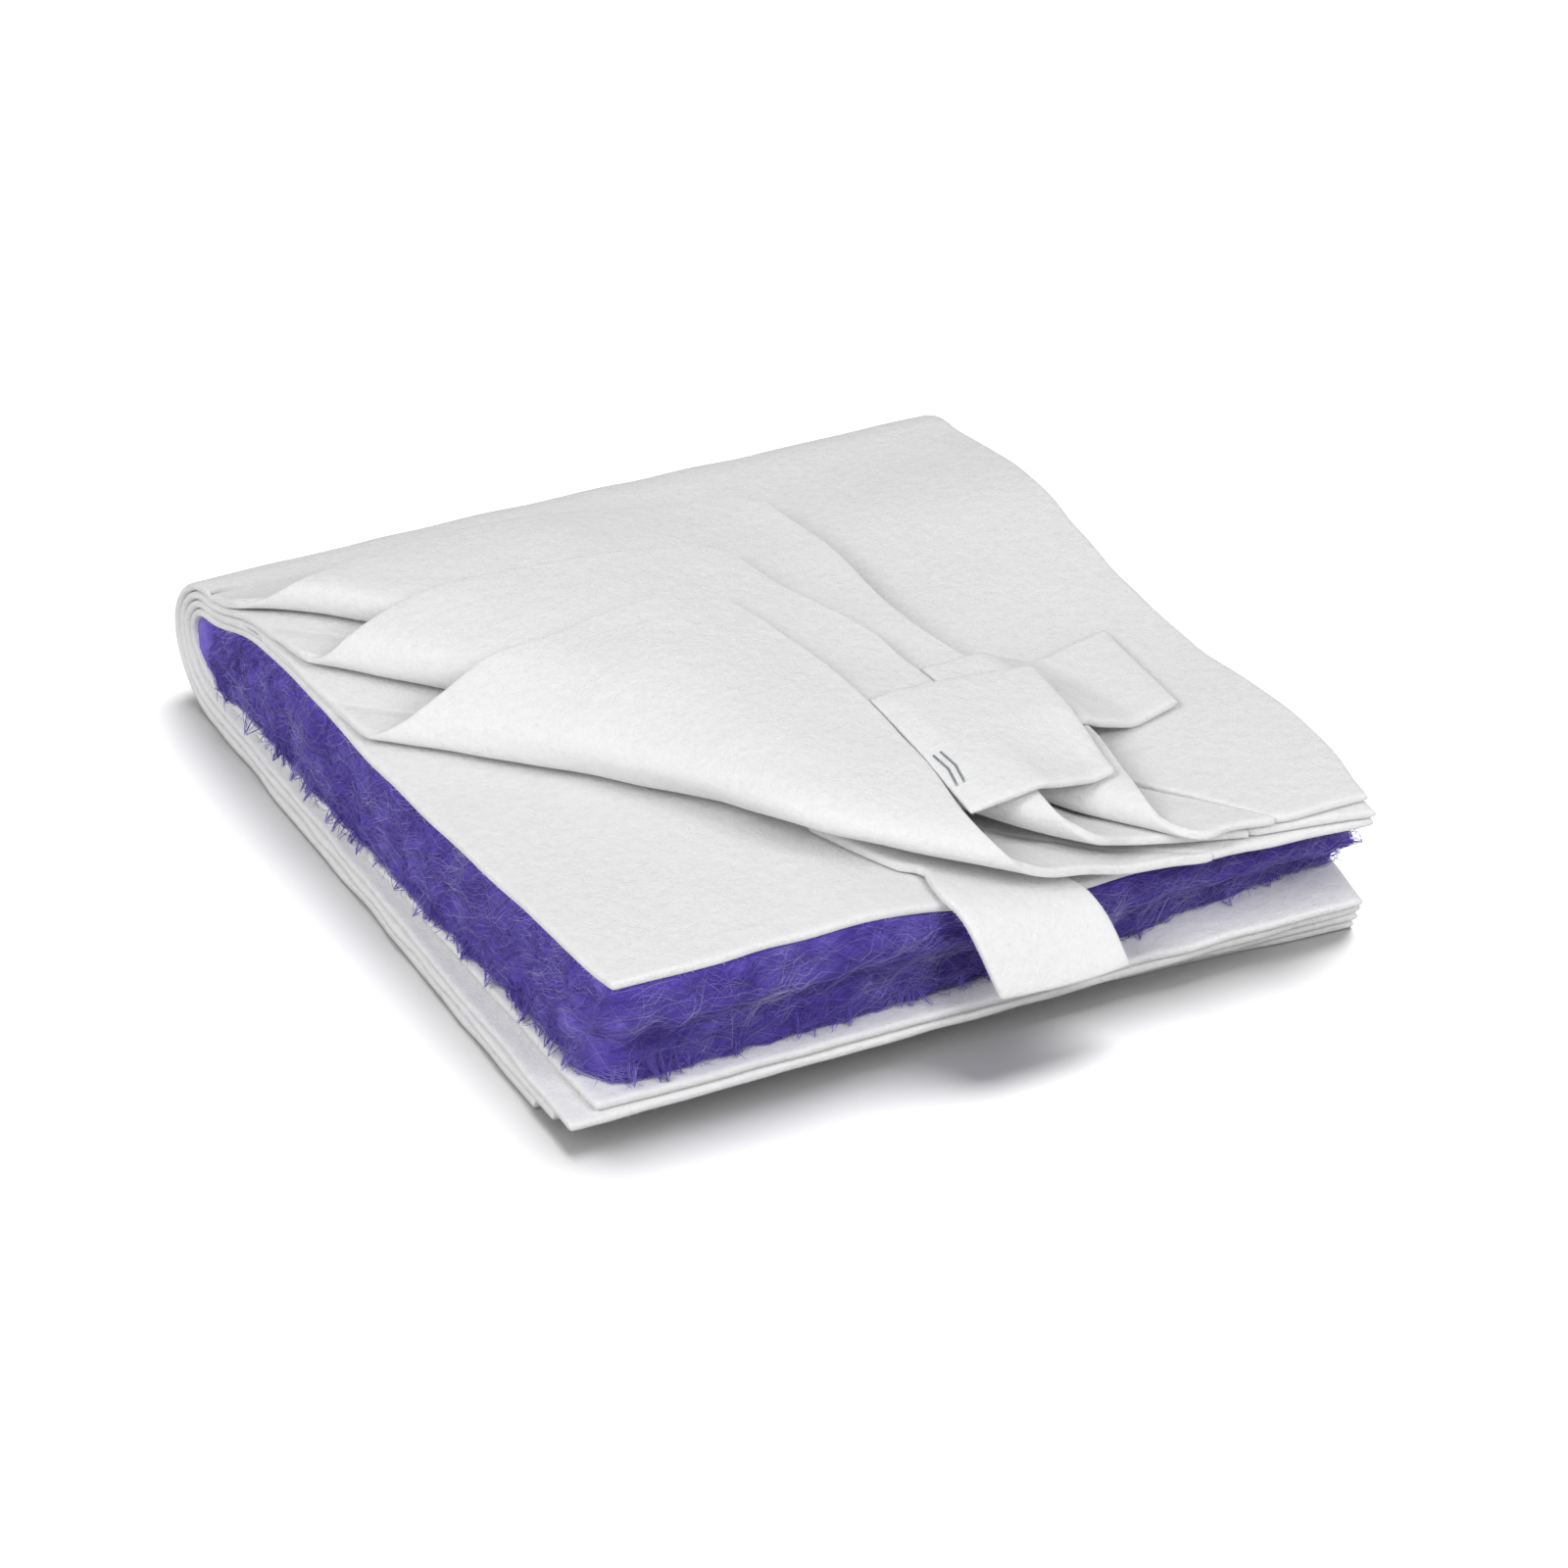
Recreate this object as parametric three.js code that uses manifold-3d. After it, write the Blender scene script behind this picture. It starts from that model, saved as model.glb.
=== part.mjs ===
import * as THREE from 'three';
import Module from 'manifold-3d';

const wasm = await Module();
wasm.setup();

// A cleaning cloth pack: four felt sheets over a thick fleece, all folded in half once.
// X runs along the open front edge, Y from that edge to the fold, and the pack lies on Z = 0.
// Sheet 1 is the outermost and sheet 4 lies on the fleece. Lengths are in millimetres.

// Driving sizes
const sheetWidth = 212.5;
const foldedDepth = 241.5;
const foldHeight = 38.5;
const foldReach = 24.6;
const feltThickness = 2.5;
const layerGap = 0.35;
const fleeceSlit = 0.4;
const sheetCount = 4;
const puffHeight = 12.2;
const foldSag = 2.4;
const edgeBillow = 3.5;
const edgeBow = 4.6;
const cornerAir = 5;
const turnAir = 0.8;
const creaseBow = 14;

// Pull tabs and staples
const stapleCrown = 12.4;
const stapleWire = 0.55;
const staplePitch = 2.6;
const staplePlay = 0.18;
const stapleTipGap = 0.8;
const stapleKink = 0.25;
const stapleSunk = 0.08;
const stapleFlush = 0.4;
const holeOverrun = 0.6;
const drapeReach = 4.5;
const drapeCell = 1.5;
const tabClearance = 0.5;
const drapeClearance = 1.15;

// Sizes that follow
const layerPitch = feltThickness + layerGap;
const feltHalf = feltThickness / 2;
const whiteStack = sheetCount * layerPitch;
const foldLine = foldedDepth - foldReach;
const seamGap = 2 * layerGap;

// At the fold the upper layers are pressed together to this share of their thickness.
const foldPressShare = 0.8;
const pressFromShare = 0.75;
const foldPitchShare = 0.93;
const fleeceFoldTop = foldHeight - whiteStack * foldPressShare;
const fleeceReach = foldReach - whiteStack * foldPitchShare;

// Shares of the width (across) and of the folded depth (along), read from the corner at X = Y = 0
const lowerFrontShares = {
  1: [[0, 0.076], [1, 0]],
  2: [[0, 0.034], [1, -0.004]],
  3: [[0, -0.008], [1, -0.008]],
  4: [[0, -0.004], [1, -0.015]],
};
const lowerLeftShares = {
  1: [[0, 0], [1, 0.003]],
  2: [[0, 0], [1, 0.004]],
  3: [[0, 0.002], [1, 0.006]],
  4: [[0, 0.035], [1, 0.012]],
};
const upperFrontShares = [[0, -0.013], [0.3, -0.013], [0.45, -0.002], [0.65, 0.015], [1, 0.01]];
const upperLeftShares = [
  [-0.02, 0.053], [0.03, 0.046], [0.11, 0.041], [0.24, 0.033], [0.45, 0.0225],
  [0.69, 0.019], [0.8, 0.015], [0.91, 0.008],
];
const fleeceLowerFrontShares = [
  [0, 0], [0.3, 0], [0.5, 0.013], [0.7, 0.021], [0.8, 0.042], [0.9, 0.055], [1, 0.063],
];
const fleeceLeftShares = [[-0.02, 0.056], [0.25, 0.045], [0.5, 0.03], [0.8, 0.024], [0.92, 0.014]];
const fleeceRightShare = 0.985;
const puffShares = [
  [0, 0], [0.12, 0.55], [0.24, 0.68], [0.5, 0.72], [0.74, 0.86], [0.88, 0.96], [1.02, 1],
];
const edgeBowShares = [
  [-0.03, 0], [0, 0.1], [0.06, 0.6], [0.16, 1], [0.28, 0.45], [0.45, 0.2], [0.6, 0.45], [0.76, 1],
  [0.86, 1.05], [0.95, 1], [1, 0.8],
];
const creaseBowShares = [[0, 0], [0.25, 0.11], [0.48, 0.45], [0.68, 1], [0.8, 0.8], [0.9, 0.38], [1, 0]];
const creaseBowOfShares = { 1: 0, 2: 0.1, 3: 1 };
const puffAcrossShares = [0.33, 0.66];
const sagShares = [0.5, 0.9];
const billowAcrossShare = 0.6;
const billowHighShares = [0.5, 0.72, 0.95];
const billowLowShares = [0.14, 0.37, 0.58];
const billowDipShare = 0.6;

// The turned corner of each sheet: its left edge and its front edge, from the flat sheet to the tip.
// Each point is a share of the width, a share of the depth and a share of the corner's own lift.
const cornerRimShares = {
  3: {
    left: [
      [0.0215, 0.6, 0], [0.026, 0.557, 0], [0.033, 0.52, 0.03], [0.058, 0.5, 0.17], [0.101, 0.489, 0.42],
      [0.174, 0.495, 0.7], [0.241, 0.49, 0.78], [0.295, 0.5, 0.8], [0.457, 0.507, 0.89],
    ],
    front: [
      [0.8, -0.011, 0], [0.728, -0.011, 0.05], [0.64, -0.013, 0.13], [0.584, -0.018, 0.27],
      [0.546, -0.018, 0.4], [0.52, 0.018, 0.55], [0.516, 0.096, 0.69], [0.514, 0.242, 0.84],
      [0.49, 0.397, 0.89], [0.457, 0.507, 0.89],
    ],
  },
  2: {
    left: [
      [0.0185, 0.765, 0], [0.022, 0.715, 0], [0.029, 0.676, 0.03], [0.044, 0.652, 0.2], [0.071, 0.644, 0.5],
      [0.142, 0.656, 0.74], [0.21, 0.66, 0.82], [0.323, 0.649, 0.85], [0.535, 0.626, 1],
    ],
    front: [
      [0.85, -0.005, 0], [0.78, 0.004, 0.05], [0.704, 0.008, 0.24], [0.653, -0.004, 0.56],
      [0.623, 0.022, 0.84], [0.624, 0.139, 0.97], [0.621, 0.305, 0.99], [0.605, 0.418, 1.02],
      [0.562, 0.523, 1.02], [0.535, 0.626, 1],
    ],
  },
  1: {
    left: [
      [0.011, 0.885, 0], [0.013, 0.84, 0], [0.031, 0.802, 0.27], [0.06, 0.777, 0.8], [0.134, 0.789, 0.95],
      [0.195, 0.801, 0.98], [0.285, 0.801, 0.98], [0.448, 0.789, 1], [0.663, 0.772, 1.1],
    ],
    front: [
      [0.88, -0.013, 0], [0.82, -0.013, 0.08], [0.783, -0.019, 0.18], [0.75, 0.005, 0.51],
      [0.7425, 0.026, 0.85], [0.745, 0.08, 0.98], [0.757, 0.184, 1.02], [0.703, 0.366, 1.08],
      [0.684, 0.458, 1.08], [0.684, 0.623, 1.06], [0.663, 0.772, 1.1],
    ],
  },
};
const cornerSplitShares = { left: 0.5, front: 0.18 };
const tipCutShare = 0.985;
const upperFrontOfShares = {
  1: [[0, -0.014], [1, -0.014]],
  2: [[0, -0.004], [0.7, -0.004], [1, -0.028]],
  3: [[0, -0.011], [0.7, -0.011], [1, -0.025]],
  4: upperFrontShares,
};
const rowShares = [0, 0.04, 0.12, 0.21, 0.3, 0.4, 0.5, 0.6, 0.69, 0.77, 0.84, 0.9, 0.95, 1];
const columnShares = [0, 0.1, 0.2, 0.3, 0.39, 0.48, 0.58, 0.7, 0.85, 1];
const creaseStepCount = 13;

// Helpers for curves and heights
const mix = THREE.MathUtils.lerp;
const smooth = THREE.MathUtils.smoothstep;

function through(pairs, at) {
  const last = pairs.length - 1;
  const i = Math.min(Math.max(pairs.findIndex((p) => p[0] > at) - 1, 0), last - 1);
  const n = at >= pairs[last][0] ? last - 1 : i;
  const slope = (j) => {
    const a = pairs[Math.max(j - 1, 0)];
    const b = pairs[Math.min(j + 1, last)];
    return (b[1] - a[1]) / (b[0] - a[0]);
  };
  const [x0, y0] = pairs[n];
  const [x1, y1] = pairs[n + 1];
  const span = x1 - x0;
  const s = THREE.MathUtils.clamp((at - x0) / span, 0, 1);
  const s2 = s * s;
  const s3 = s2 * s;
  return (2 * s3 - 3 * s2 + 1) * y0 + (s3 - 2 * s2 + s) * span * slope(n)
    + (3 * s2 - 2 * s3) * y1 + (s3 - s2) * span * slope(n + 1);
}

function bell(at, [from, peak, to]) {
  return smooth(at, from, peak) * (1 - smooth(at, peak, to));
}

// How far the layers are pressed together: fully at the fold, not at all over the front part.
function pressed(y) {
  return mix(1, foldPressShare, smooth(y, pressFromShare * foldLine, foldLine));
}

// The fleece's upper face: pressed down at the fold, sprung up at the free corner, billowed at the right.
function fleeceTop(x, y) {
  const forward = (foldLine - y) / foldLine;
  const across = smooth(x, puffAcrossShares[0] * sheetWidth, puffAcrossShares[1] * sheetWidth);
  const depth = y / foldedDepth;
  const toRight = smooth(x, billowAcrossShare * sheetWidth, sheetWidth);
  const billow = bell(depth, billowHighShares) - billowDipShare * bell(depth, billowLowShares);
  const sagAcross = smooth(x, puffAcrossShares[0] * sheetWidth, sheetWidth);
  const sag = foldSag * sagAcross * smooth(depth, ...sagShares);
  return fleeceFoldTop + puffHeight * through(puffShares, forward) * (1 - across)
    + edgeBillow * billow * toRight - sag;
}

function rightEdge(y) {
  return sheetWidth + edgeBow * through(edgeBowShares, y / foldedDepth);
}

// Where the inner end of the third tab lies under sheet 3, the sheets above step over it.
const tabBedShares = { x: [0.33, 0.38, 0.62, 0.7], y: [-0.06, -0.03, 0.24, 0.32] };

function overTab(x, y) {
  const inX = tabBedShares.x.map((s) => s * sheetWidth);
  const inY = tabBedShares.y.map((s) => s * foldedDepth);
  const across = smooth(x, inX[0], inX[1]) * (1 - smooth(x, inX[2], inX[3]));
  return (layerPitch + tabClearance) * across * smooth(y, inY[0], inY[1]) * (1 - smooth(y, inY[2], inY[3]));
}

// The middle of an upper sheet where it lies flat.
function sheetHeight(sheet, x, y) {
  const step = sheet < sheetCount ? overTab(x, y) : 0;
  const inStack = (sheetCount - sheet) * layerPitch + layerGap + feltHalf;
  return fleeceTop(x, y) + inStack * pressed(y) + step;
}

function cornerLift(sheet) {
  const crossed = 2 * (sheet - 1) + 1;
  const tabsCrossed = sheet - 1;
  return (crossed + tabsCrossed) * layerPitch + cornerAir;
}

function lowerMiddle(sheet) {
  return feltHalf + (sheet - 1) * layerPitch;
}

// A closed solid between two faces given as functions of (u, v) from 0 to 1.
function solidBetween(under, over, countU, countV) {
  const points = [];
  const row = countV + 1;
  const count = (countU + 1) * row;
  for (const face of [under, over]) {
    for (let i = 0; i <= countU; i += 1) {
      for (let j = 0; j <= countV; j += 1) points.push(face(i / countU, j / countV));
    }
  }
  const index = [];
  const quad = (a, b, c, d) => index.push(a, b, c, a, c, d);
  for (let i = 0; i < countU; i += 1) {
    for (let j = 0; j < countV; j += 1) {
      const a = i * row + j;
      quad(a, a + 1, a + row + 1, a + row);
      quad(count + a, count + a + row, count + a + row + 1, count + a + 1);
    }
  }
  for (let i = 0; i < countU; i += 1) {
    const left = i * row;
    const right = left + countV;
    quad(left, left + row, count + left + row, count + left);
    quad(right, count + right, count + right + row, right + row);
  }
  for (let j = 0; j < countV; j += 1) {
    const near = j;
    const far = countU * row + j;
    quad(near, count + near, count + near + 1, near + 1);
    quad(far, far + 1, count + far + 1, count + far);
  }
  return closed(points, index);
}

function closed(points, index) {
  let volume = 0;
  for (let i = 0; i < index.length; i += 3) {
    const [a, b, c] = [points[index[i]], points[index[i + 1]], points[index[i + 2]]];
    volume += a.dot(new THREE.Vector3().crossVectors(b, c));
  }
  if (volume < 0) index.reverse();
  const geometry = new THREE.BufferGeometry();
  geometry.setAttribute('position', new THREE.Float32BufferAttribute(points.flatMap((p) => p.toArray()), 3));
  geometry.setIndex(index);
  geometry.computeVertexNormals();
  return geometry;
}

// A felt solid: half the thickness on each side of a middle surface.
const slopeStepShare = 0.004;

function felt(middle, countU, countV, press = (p) => pressed(p.y)) {
  const offset = (side) => (u, v) => {
    const d = slopeStepShare;
    const alongU = middle(Math.min(u + d, 1), v).sub(middle(Math.max(u - d, 0), v));
    const alongV = middle(u, Math.min(v + d, 1)).sub(middle(u, Math.max(v - d, 0)));
    const normal = alongV.cross(alongU).normalize();
    const p = middle(u, v);
    return p.addScaledVector(normal, side * feltHalf * press(p));
  };
  return solidBetween(offset(-1), offset(1), countU, countV);
}

// Panels of the sheets
function lowerPanel(sheet) {
  return (u, v) => {
    const front = through(lowerFrontShares[sheet], v) * foldedDepth;
    const y = mix(front, foldLine - layerGap, u);
    const left = through(lowerLeftShares[sheet], y / foldLine) * sheetWidth;
    return new THREE.Vector3(mix(left, rightEdge(y), v), y, lowerMiddle(sheet));
  };
}

function arcPoint(x, reach, low, high, u) {
  const angle = mix(-Math.PI / 2, Math.PI / 2, u);
  const height = mix(low, high, 0.5 + 0.5 * Math.sin(angle));
  return new THREE.Vector3(x, foldLine + reach * Math.cos(angle), height);
}

function foldStrip(sheet) {
  const reach = foldReach - feltHalf - (sheet - 1) * layerPitch * foldPitchShare;
  const start = [lowerLeftShares[sheet], 1];
  return (u, v) => {
    const left = mix(through(...start) * sheetWidth, upperLeft(foldLine), smooth(u, 0, 1));
    const x = mix(left, rightEdge(foldLine), v);
    return arcPoint(x, reach, lowerMiddle(sheet), sheetHeight(sheet, x, foldLine), u);
  };
}

function foldPress(p) {
  return mix(1, foldPressShare, smooth(p.z, 0, foldHeight));
}

function upperLeft(y) {
  return through(upperLeftShares, y / foldedDepth) * sheetWidth;
}

function restingPoint(sheet, x, y) {
  return new THREE.Vector3(x, y, sheetHeight(sheet, x, y));
}

// All the upper layers share the lines of one grid, so that they lie on each other without crossing.
function gridPoint(front, left, right, row, column) {
  const v = columnShares[column];
  const base = rowShares[row] * (foldLine - layerGap);
  const y = row === 0 ? through(front, v) * foldedDepth : base;
  const inner = mix(upperLeft(y), rightEdge(y), v);
  const atLeft = column === 0 ? left(y) : inner;
  const x = column === columnShares.length - 1 ? right(y) : atLeft;
  return new THREE.Vector2(x, y);
}

function gridSolid(front, left, right, under, over) {
  const rows = rowShares.length - 1;
  const columns = columnShares.length - 1;
  const face = (height) => (u, v) => {
    const { x, y } = gridPoint(front, left, right, Math.round(u * rows), Math.round(v * columns));
    return new THREE.Vector3(x, y, height(x, y));
  };
  return solidBetween(face(under), face(over), rows, columns);
}

// The line where a sheet leaves its flat part and starts to turn, bowed towards the free corner.
function creaseOf(sheet) {
  const { left, front } = cornerRimShares[sheet];
  const ends = [left[0], front[0]].map(([x, y]) => new THREE.Vector2(x * sheetWidth, y * foldedDepth));
  const along = ends[1].clone().sub(ends[0]).normalize();
  const outward = new THREE.Vector2(along.y, -along.x);
  const bow = (v) => creaseBow * creaseBowOfShares[sheet] * through(creaseBowShares, v);
  const at = (v) => ends[0].clone().lerp(ends[1], v).addScaledVector(outward, bow(v));
  return { ends, outward, bow, at };
}

function upperPanel(sheet) {
  const front = upperFrontOfShares[sheet];
  const height = (side) => (x, y) => sheetHeight(sheet, x, y) + side * feltHalf * pressed(y);
  const whole = gridSolid(front, upperLeft, rightEdge, height(-1), height(1));
  if (sheet === sheetCount) return whole;
  const crease = creaseOf(sheet);
  const line = [];
  for (let i = 0; i <= creaseStepCount; i += 1) {
    const p = crease.at(i / creaseStepCount).addScaledVector(crease.outward, -seamGap);
    line.push([p.x, p.y]);
  }
  const beyond = foldedDepth;
  const last = line[line.length - 1];
  const outline = [...line, [last[0], -beyond], [-beyond, -beyond], [-beyond, line[0][1]]];
  const turnedAway = wasm.Manifold.extrude([outline.reverse()], 2 * foldHeight);
  return geometryOf(solidOf(whole).subtract(turnedAway));
}

// A turned corner, swept by straight lines from its left edge to its front edge.
function cornerRims(sheet) {
  const rims = {};
  for (const [name, shares] of Object.entries(cornerRimShares[sheet])) {
    const points = shares.map(([x, y, lift]) => (
      new THREE.Vector3(x * sheetWidth, y * foldedDepth, lift * cornerLift(sheet))
    ));
    rims[name] = new THREE.CatmullRomCurve3(points, false, 'centripetal');
    rims[name].arcLengthDivisions = 400;
  }
  return rims;
}

const bowFadeShares = [0.3, 0.75];
const stepFadeShares = { 1: 0.5, 2: 1, 3: 1 };
const stepFade = 3 * layerPitch;

function cornerSurface(sheet) {
  const rims = cornerRims(sheet);
  const crease = creaseOf(sheet);
  return (u, v) => {
    const p = rims.left.getPointAt(u).lerp(rims.front.getPointAt(u), v);
    const bow = crease.bow(v) * (1 - smooth(u, ...bowFadeShares));
    const x = p.x + crease.outward.x * bow;
    const y = p.y + crease.outward.y * bow;
    const step = overTab(x, y) * smooth(p.z, 0, stepFade) * stepFadeShares[sheet];
    return new THREE.Vector3(x, y, sheetHeight(sheet, x, y) + turnAir + p.z - step);
  };
}

function cornerPart(sheet, from, to) {
  const surface = cornerSurface(sheet);
  return (u, v) => surface(mix(from(v), to(v), u), v);
}

function splitAt(v) {
  return mix(cornerSplitShares.left, cornerSplitShares.front, v);
}

// The roll's steps lie closest together where the felt bends most.
const rollStepShares = [0, 0.25, 0.75, 1];
const rollBendShares = { 1: [0.08, 0.17], 2: [0.11, 0.25], 3: [0.1, 0.33] };
const bendLimitShares = [0.55, 0.9];

function rollPart(sheet) {
  const surface = cornerSurface(sheet);
  return (u, v) => {
    const end = splitAt(v);
    const bend = rollBendShares[sheet].map((share, n) => Math.min(share, bendLimitShares[n] * end));
    const stops = [0, ...bend, end];
    const n = Math.min(rollStepShares.findIndex((share) => share > u) - 1, stops.length - 2);
    const from = n < 0 ? stops.length - 2 : n;
    const step = (u - rollStepShares[from]) / (rollStepShares[from + 1] - rollStepShares[from]);
    return surface(mix(stops[from], stops[from + 1], step), v);
  };
}

const seamSpreadShare = 4;

function seamShare(sheet) {
  return seamGap / cornerRims(sheet).left.getLength();
}

// Pieces of fleece
function fleeceLeft(y) {
  return through(fleeceLeftShares, y / foldedDepth) * sheetWidth;
}

function fleeceMiddle(x, y) {
  return (whiteStack + fleeceTop(x, y)) / 2;
}

function fleeceRight(y) {
  return fleeceRightShare * rightEdge(y);
}

function fleeceArc(reach, low, high) {
  return (u, v) => {
    const x = mix(fleeceLeft(foldLine), fleeceRight(foldLine), v);
    return arcPoint(x, reach, low(x), high(x), u);
  };
}

// The third tab lies on sheet 4 and hangs over its front edge.
// Rows from its inner end to its lower end: its left and right sides, and how far each has dropped.
const hangingTabShares = [
  { at: 0, left: [0.385, 0.155], right: [0.552, 0.245], drop: [0, 0] },
  { at: 0.22, left: [0.415, 0.098], right: [0.574, 0.15], drop: [0, 0] },
  { at: 0.44, left: [0.44, 0.042], right: [0.603, 0.07], drop: [0, 0] },
  { at: 0.62, left: [0.457, -0.006], right: [0.635, -0.004], drop: [0, 0] },
  { at: 0.7, left: [0.464, -0.03], right: [0.64, -0.029], drop: [0.035, 0.03] },
  { at: 0.8, left: [0.472, -0.051], right: [0.645, -0.05], drop: [0.17, 0.12] },
  { at: 1, left: [0.49, -0.075], right: [0.653, -0.075], drop: [0.49, 0.33] },
];
const hangEdgeShare = -0.012;

function rowCurve(rows, pick) {
  return (u) => through(rows.map((row) => [row.at, pick(row)]), u);
}

function planOf(rows) {
  const leftX = rowCurve(rows, (row) => row.left[0]);
  const leftY = rowCurve(rows, (row) => row.left[1]);
  const rightX = rowCurve(rows, (row) => row.right[0]);
  const rightY = rowCurve(rows, (row) => row.right[1]);
  return (u, v) => new THREE.Vector2(
    mix(leftX(u), rightX(u), v) * sheetWidth,
    mix(leftY(u), rightY(u), v) * foldedDepth,
  );
}

const hangingPlan = planOf(hangingTabShares);
const hangingDrops = [0, 1].map((side) => rowCurve(hangingTabShares, (row) => row.drop[side]));

function hangingTab(u, v) {
  const p = hangingPlan(u, v);
  const onSheet = sheetHeight(sheetCount, p.x, Math.max(p.y, hangEdgeShare * foldedDepth));
  const drop = mix(hangingDrops[0](u), hangingDrops[1](u), v) * foldHeight;
  return new THREE.Vector3(p.x, p.y, onSheet + layerPitch + tabClearance / 2 - drop);
}

// The other two tabs lie on what is under them: rows from the stapled end to the free end.
const drapedTabShares = {
  1: [
    { at: 0, left: [0.538, 0.08], right: [0.522, 0.25] },
    { at: 0.3, left: [0.579, 0.073], right: [0.572, 0.268] },
    { at: 0.6, left: [0.645, 0.074], right: [0.645, 0.272] },
    { at: 1, left: [0.738, 0.092], right: [0.739, 0.272] },
  ],
  2: [
    { at: 0, left: [0.632, 0.173], right: [0.63, 0.328] },
    { at: 0.2, left: [0.676, 0.176], right: [0.678, 0.332] },
    { at: 0.58, left: [0.76, 0.189], right: [0.773, 0.339] },
    { at: 1, left: [0.899, 0.213], right: [0.901, 0.375] },
  ],
};

// The height of the topmost face over each point, spread and smoothed so that a tab drapes over it.
function drapeOver(geometries) {
  const columns = Math.ceil(sheetWidth / drapeCell) + 1;
  const rows = Math.ceil(foldedDepth / drapeCell) + 1;
  let heights = new Float64Array(columns * rows).fill(-Infinity);
  for (const geometry of geometries) {
    const position = geometry.getAttribute('position');
    const index = geometry.getIndex();
    const corner = (i) => new THREE.Vector3().fromBufferAttribute(position, index.getX(i));
    for (let i = 0; i < index.count; i += 3) {
      raise(heights, columns, rows, corner(i), corner(i + 1), corner(i + 2));
    }
  }
  const reach = Math.round(drapeReach / drapeCell);
  heights = overWindow(heights, columns, rows, reach, (list) => Math.max(...list));
  const mean = (list) => list.reduce((a, b) => a + b, 0) / list.length;
  heights = overWindow(heights, columns, rows, reach, mean);
  return (x, y) => {
    const cx = THREE.MathUtils.clamp(x / drapeCell, 0, columns - 2);
    const cy = THREE.MathUtils.clamp(y / drapeCell, 0, rows - 2);
    const i = Math.floor(cx);
    const j = Math.floor(cy);
    const at = (a, b) => heights[b * columns + a];
    const near = mix(at(i, j), at(i + 1, j), cx - i);
    const far = mix(at(i, j + 1), at(i + 1, j + 1), cx - i);
    return mix(near, far, cy - j);
  };
}

function raise(heights, columns, rows, a, b, c) {
  const turned = (b.x - a.x) * (c.y - a.y) - (b.y - a.y) * (c.x - a.x);
  if (turned <= 0) return;
  const first = (lo) => Math.max(Math.ceil(lo / drapeCell), 0);
  const lastX = Math.min(Math.floor(Math.max(a.x, b.x, c.x) / drapeCell), columns - 1);
  const lastY = Math.min(Math.floor(Math.max(a.y, b.y, c.y) / drapeCell), rows - 1);
  for (let j = first(Math.min(a.y, b.y, c.y)); j <= lastY; j += 1) {
    for (let i = first(Math.min(a.x, b.x, c.x)); i <= lastX; i += 1) {
      const x = i * drapeCell;
      const y = j * drapeCell;
      const s = ((x - a.x) * (c.y - a.y) - (y - a.y) * (c.x - a.x)) / turned;
      const t = ((b.x - a.x) * (y - a.y) - (b.y - a.y) * (x - a.x)) / turned;
      if (s < 0 || t < 0 || s + t > 1) continue;
      const z = a.z * (1 - s - t) + b.z * s + c.z * t;
      const cell = j * columns + i;
      heights[cell] = Math.max(heights[cell], z);
    }
  }
}

function overWindow(heights, columns, rows, reach, combine) {
  const out = new Float64Array(heights.length);
  for (let j = 0; j < rows; j += 1) {
    for (let i = 0; i < columns; i += 1) {
      const list = [];
      for (let b = Math.max(j - reach, 0); b <= Math.min(j + reach, rows - 1); b += 1) {
        for (let a = Math.max(i - reach, 0); a <= Math.min(i + reach, columns - 1); a += 1) {
          const h = heights[b * columns + a];
          if (Number.isFinite(h)) list.push(h);
        }
      }
      out[j * columns + i] = list.length ? combine(list) : -Infinity;
    }
  }
  return out;
}

function drapedTab(rows, under) {
  const plan = planOf(rows);
  return (u, v) => {
    const p = plan(u, v);
    return new THREE.Vector3(p.x, p.y, under(p.x, p.y) + drapeClearance + feltHalf);
  };
}

// Staples: a crown under the sheet, two legs through the felt, and their ends bent over on the tab.
function solidOf(geometry) {
  return new wasm.Manifold(new wasm.Mesh({
    numProp: 3,
    vertProperties: new Float32Array(geometry.getAttribute('position').array),
    triVerts: new Uint32Array(geometry.getIndex().array),
  }));
}

function geometryOf(solid) {
  const mesh = solid.getMesh();
  const geometry = new THREE.BufferGeometry();
  geometry.setAttribute('position', new THREE.BufferAttribute(mesh.vertProperties, mesh.numProp));
  geometry.setIndex(new THREE.BufferAttribute(mesh.triVerts, 1));
  geometry.computeVertexNormals();
  return geometry;
}

function wireBox(size, centre) {
  return wasm.Manifold.cube(size, true).translate(centre);
}

function stapleSolid(grown, low, high, overrun = 0) {
  const wire = stapleWire + 2 * grown;
  const span = stapleCrown + 2 * grown;
  const half = (stapleCrown - stapleWire) / 2;
  const crown = wireBox([span, wire, wire], [0, 0, low]);
  const legLength = high - low + wire + 2 * overrun;
  const legs = [-1, 1].map((side) => (
    wireBox([wire, wire, legLength], [side * half, 0, (low + high) / 2])
  ));
  const bent = (stapleCrown - stapleTipGap) / 2 + grown;
  const ends = [-1, 1].map((side) => (
    wireBox([bent, wire, wire], [side * (stapleCrown / 2 + grown - bent / 2), 0, high])
      .translate([0, side * stapleKink * stapleWire, 0])
  ));
  return wasm.Manifold.union([crown, ...legs, ...ends]);
}

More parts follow.
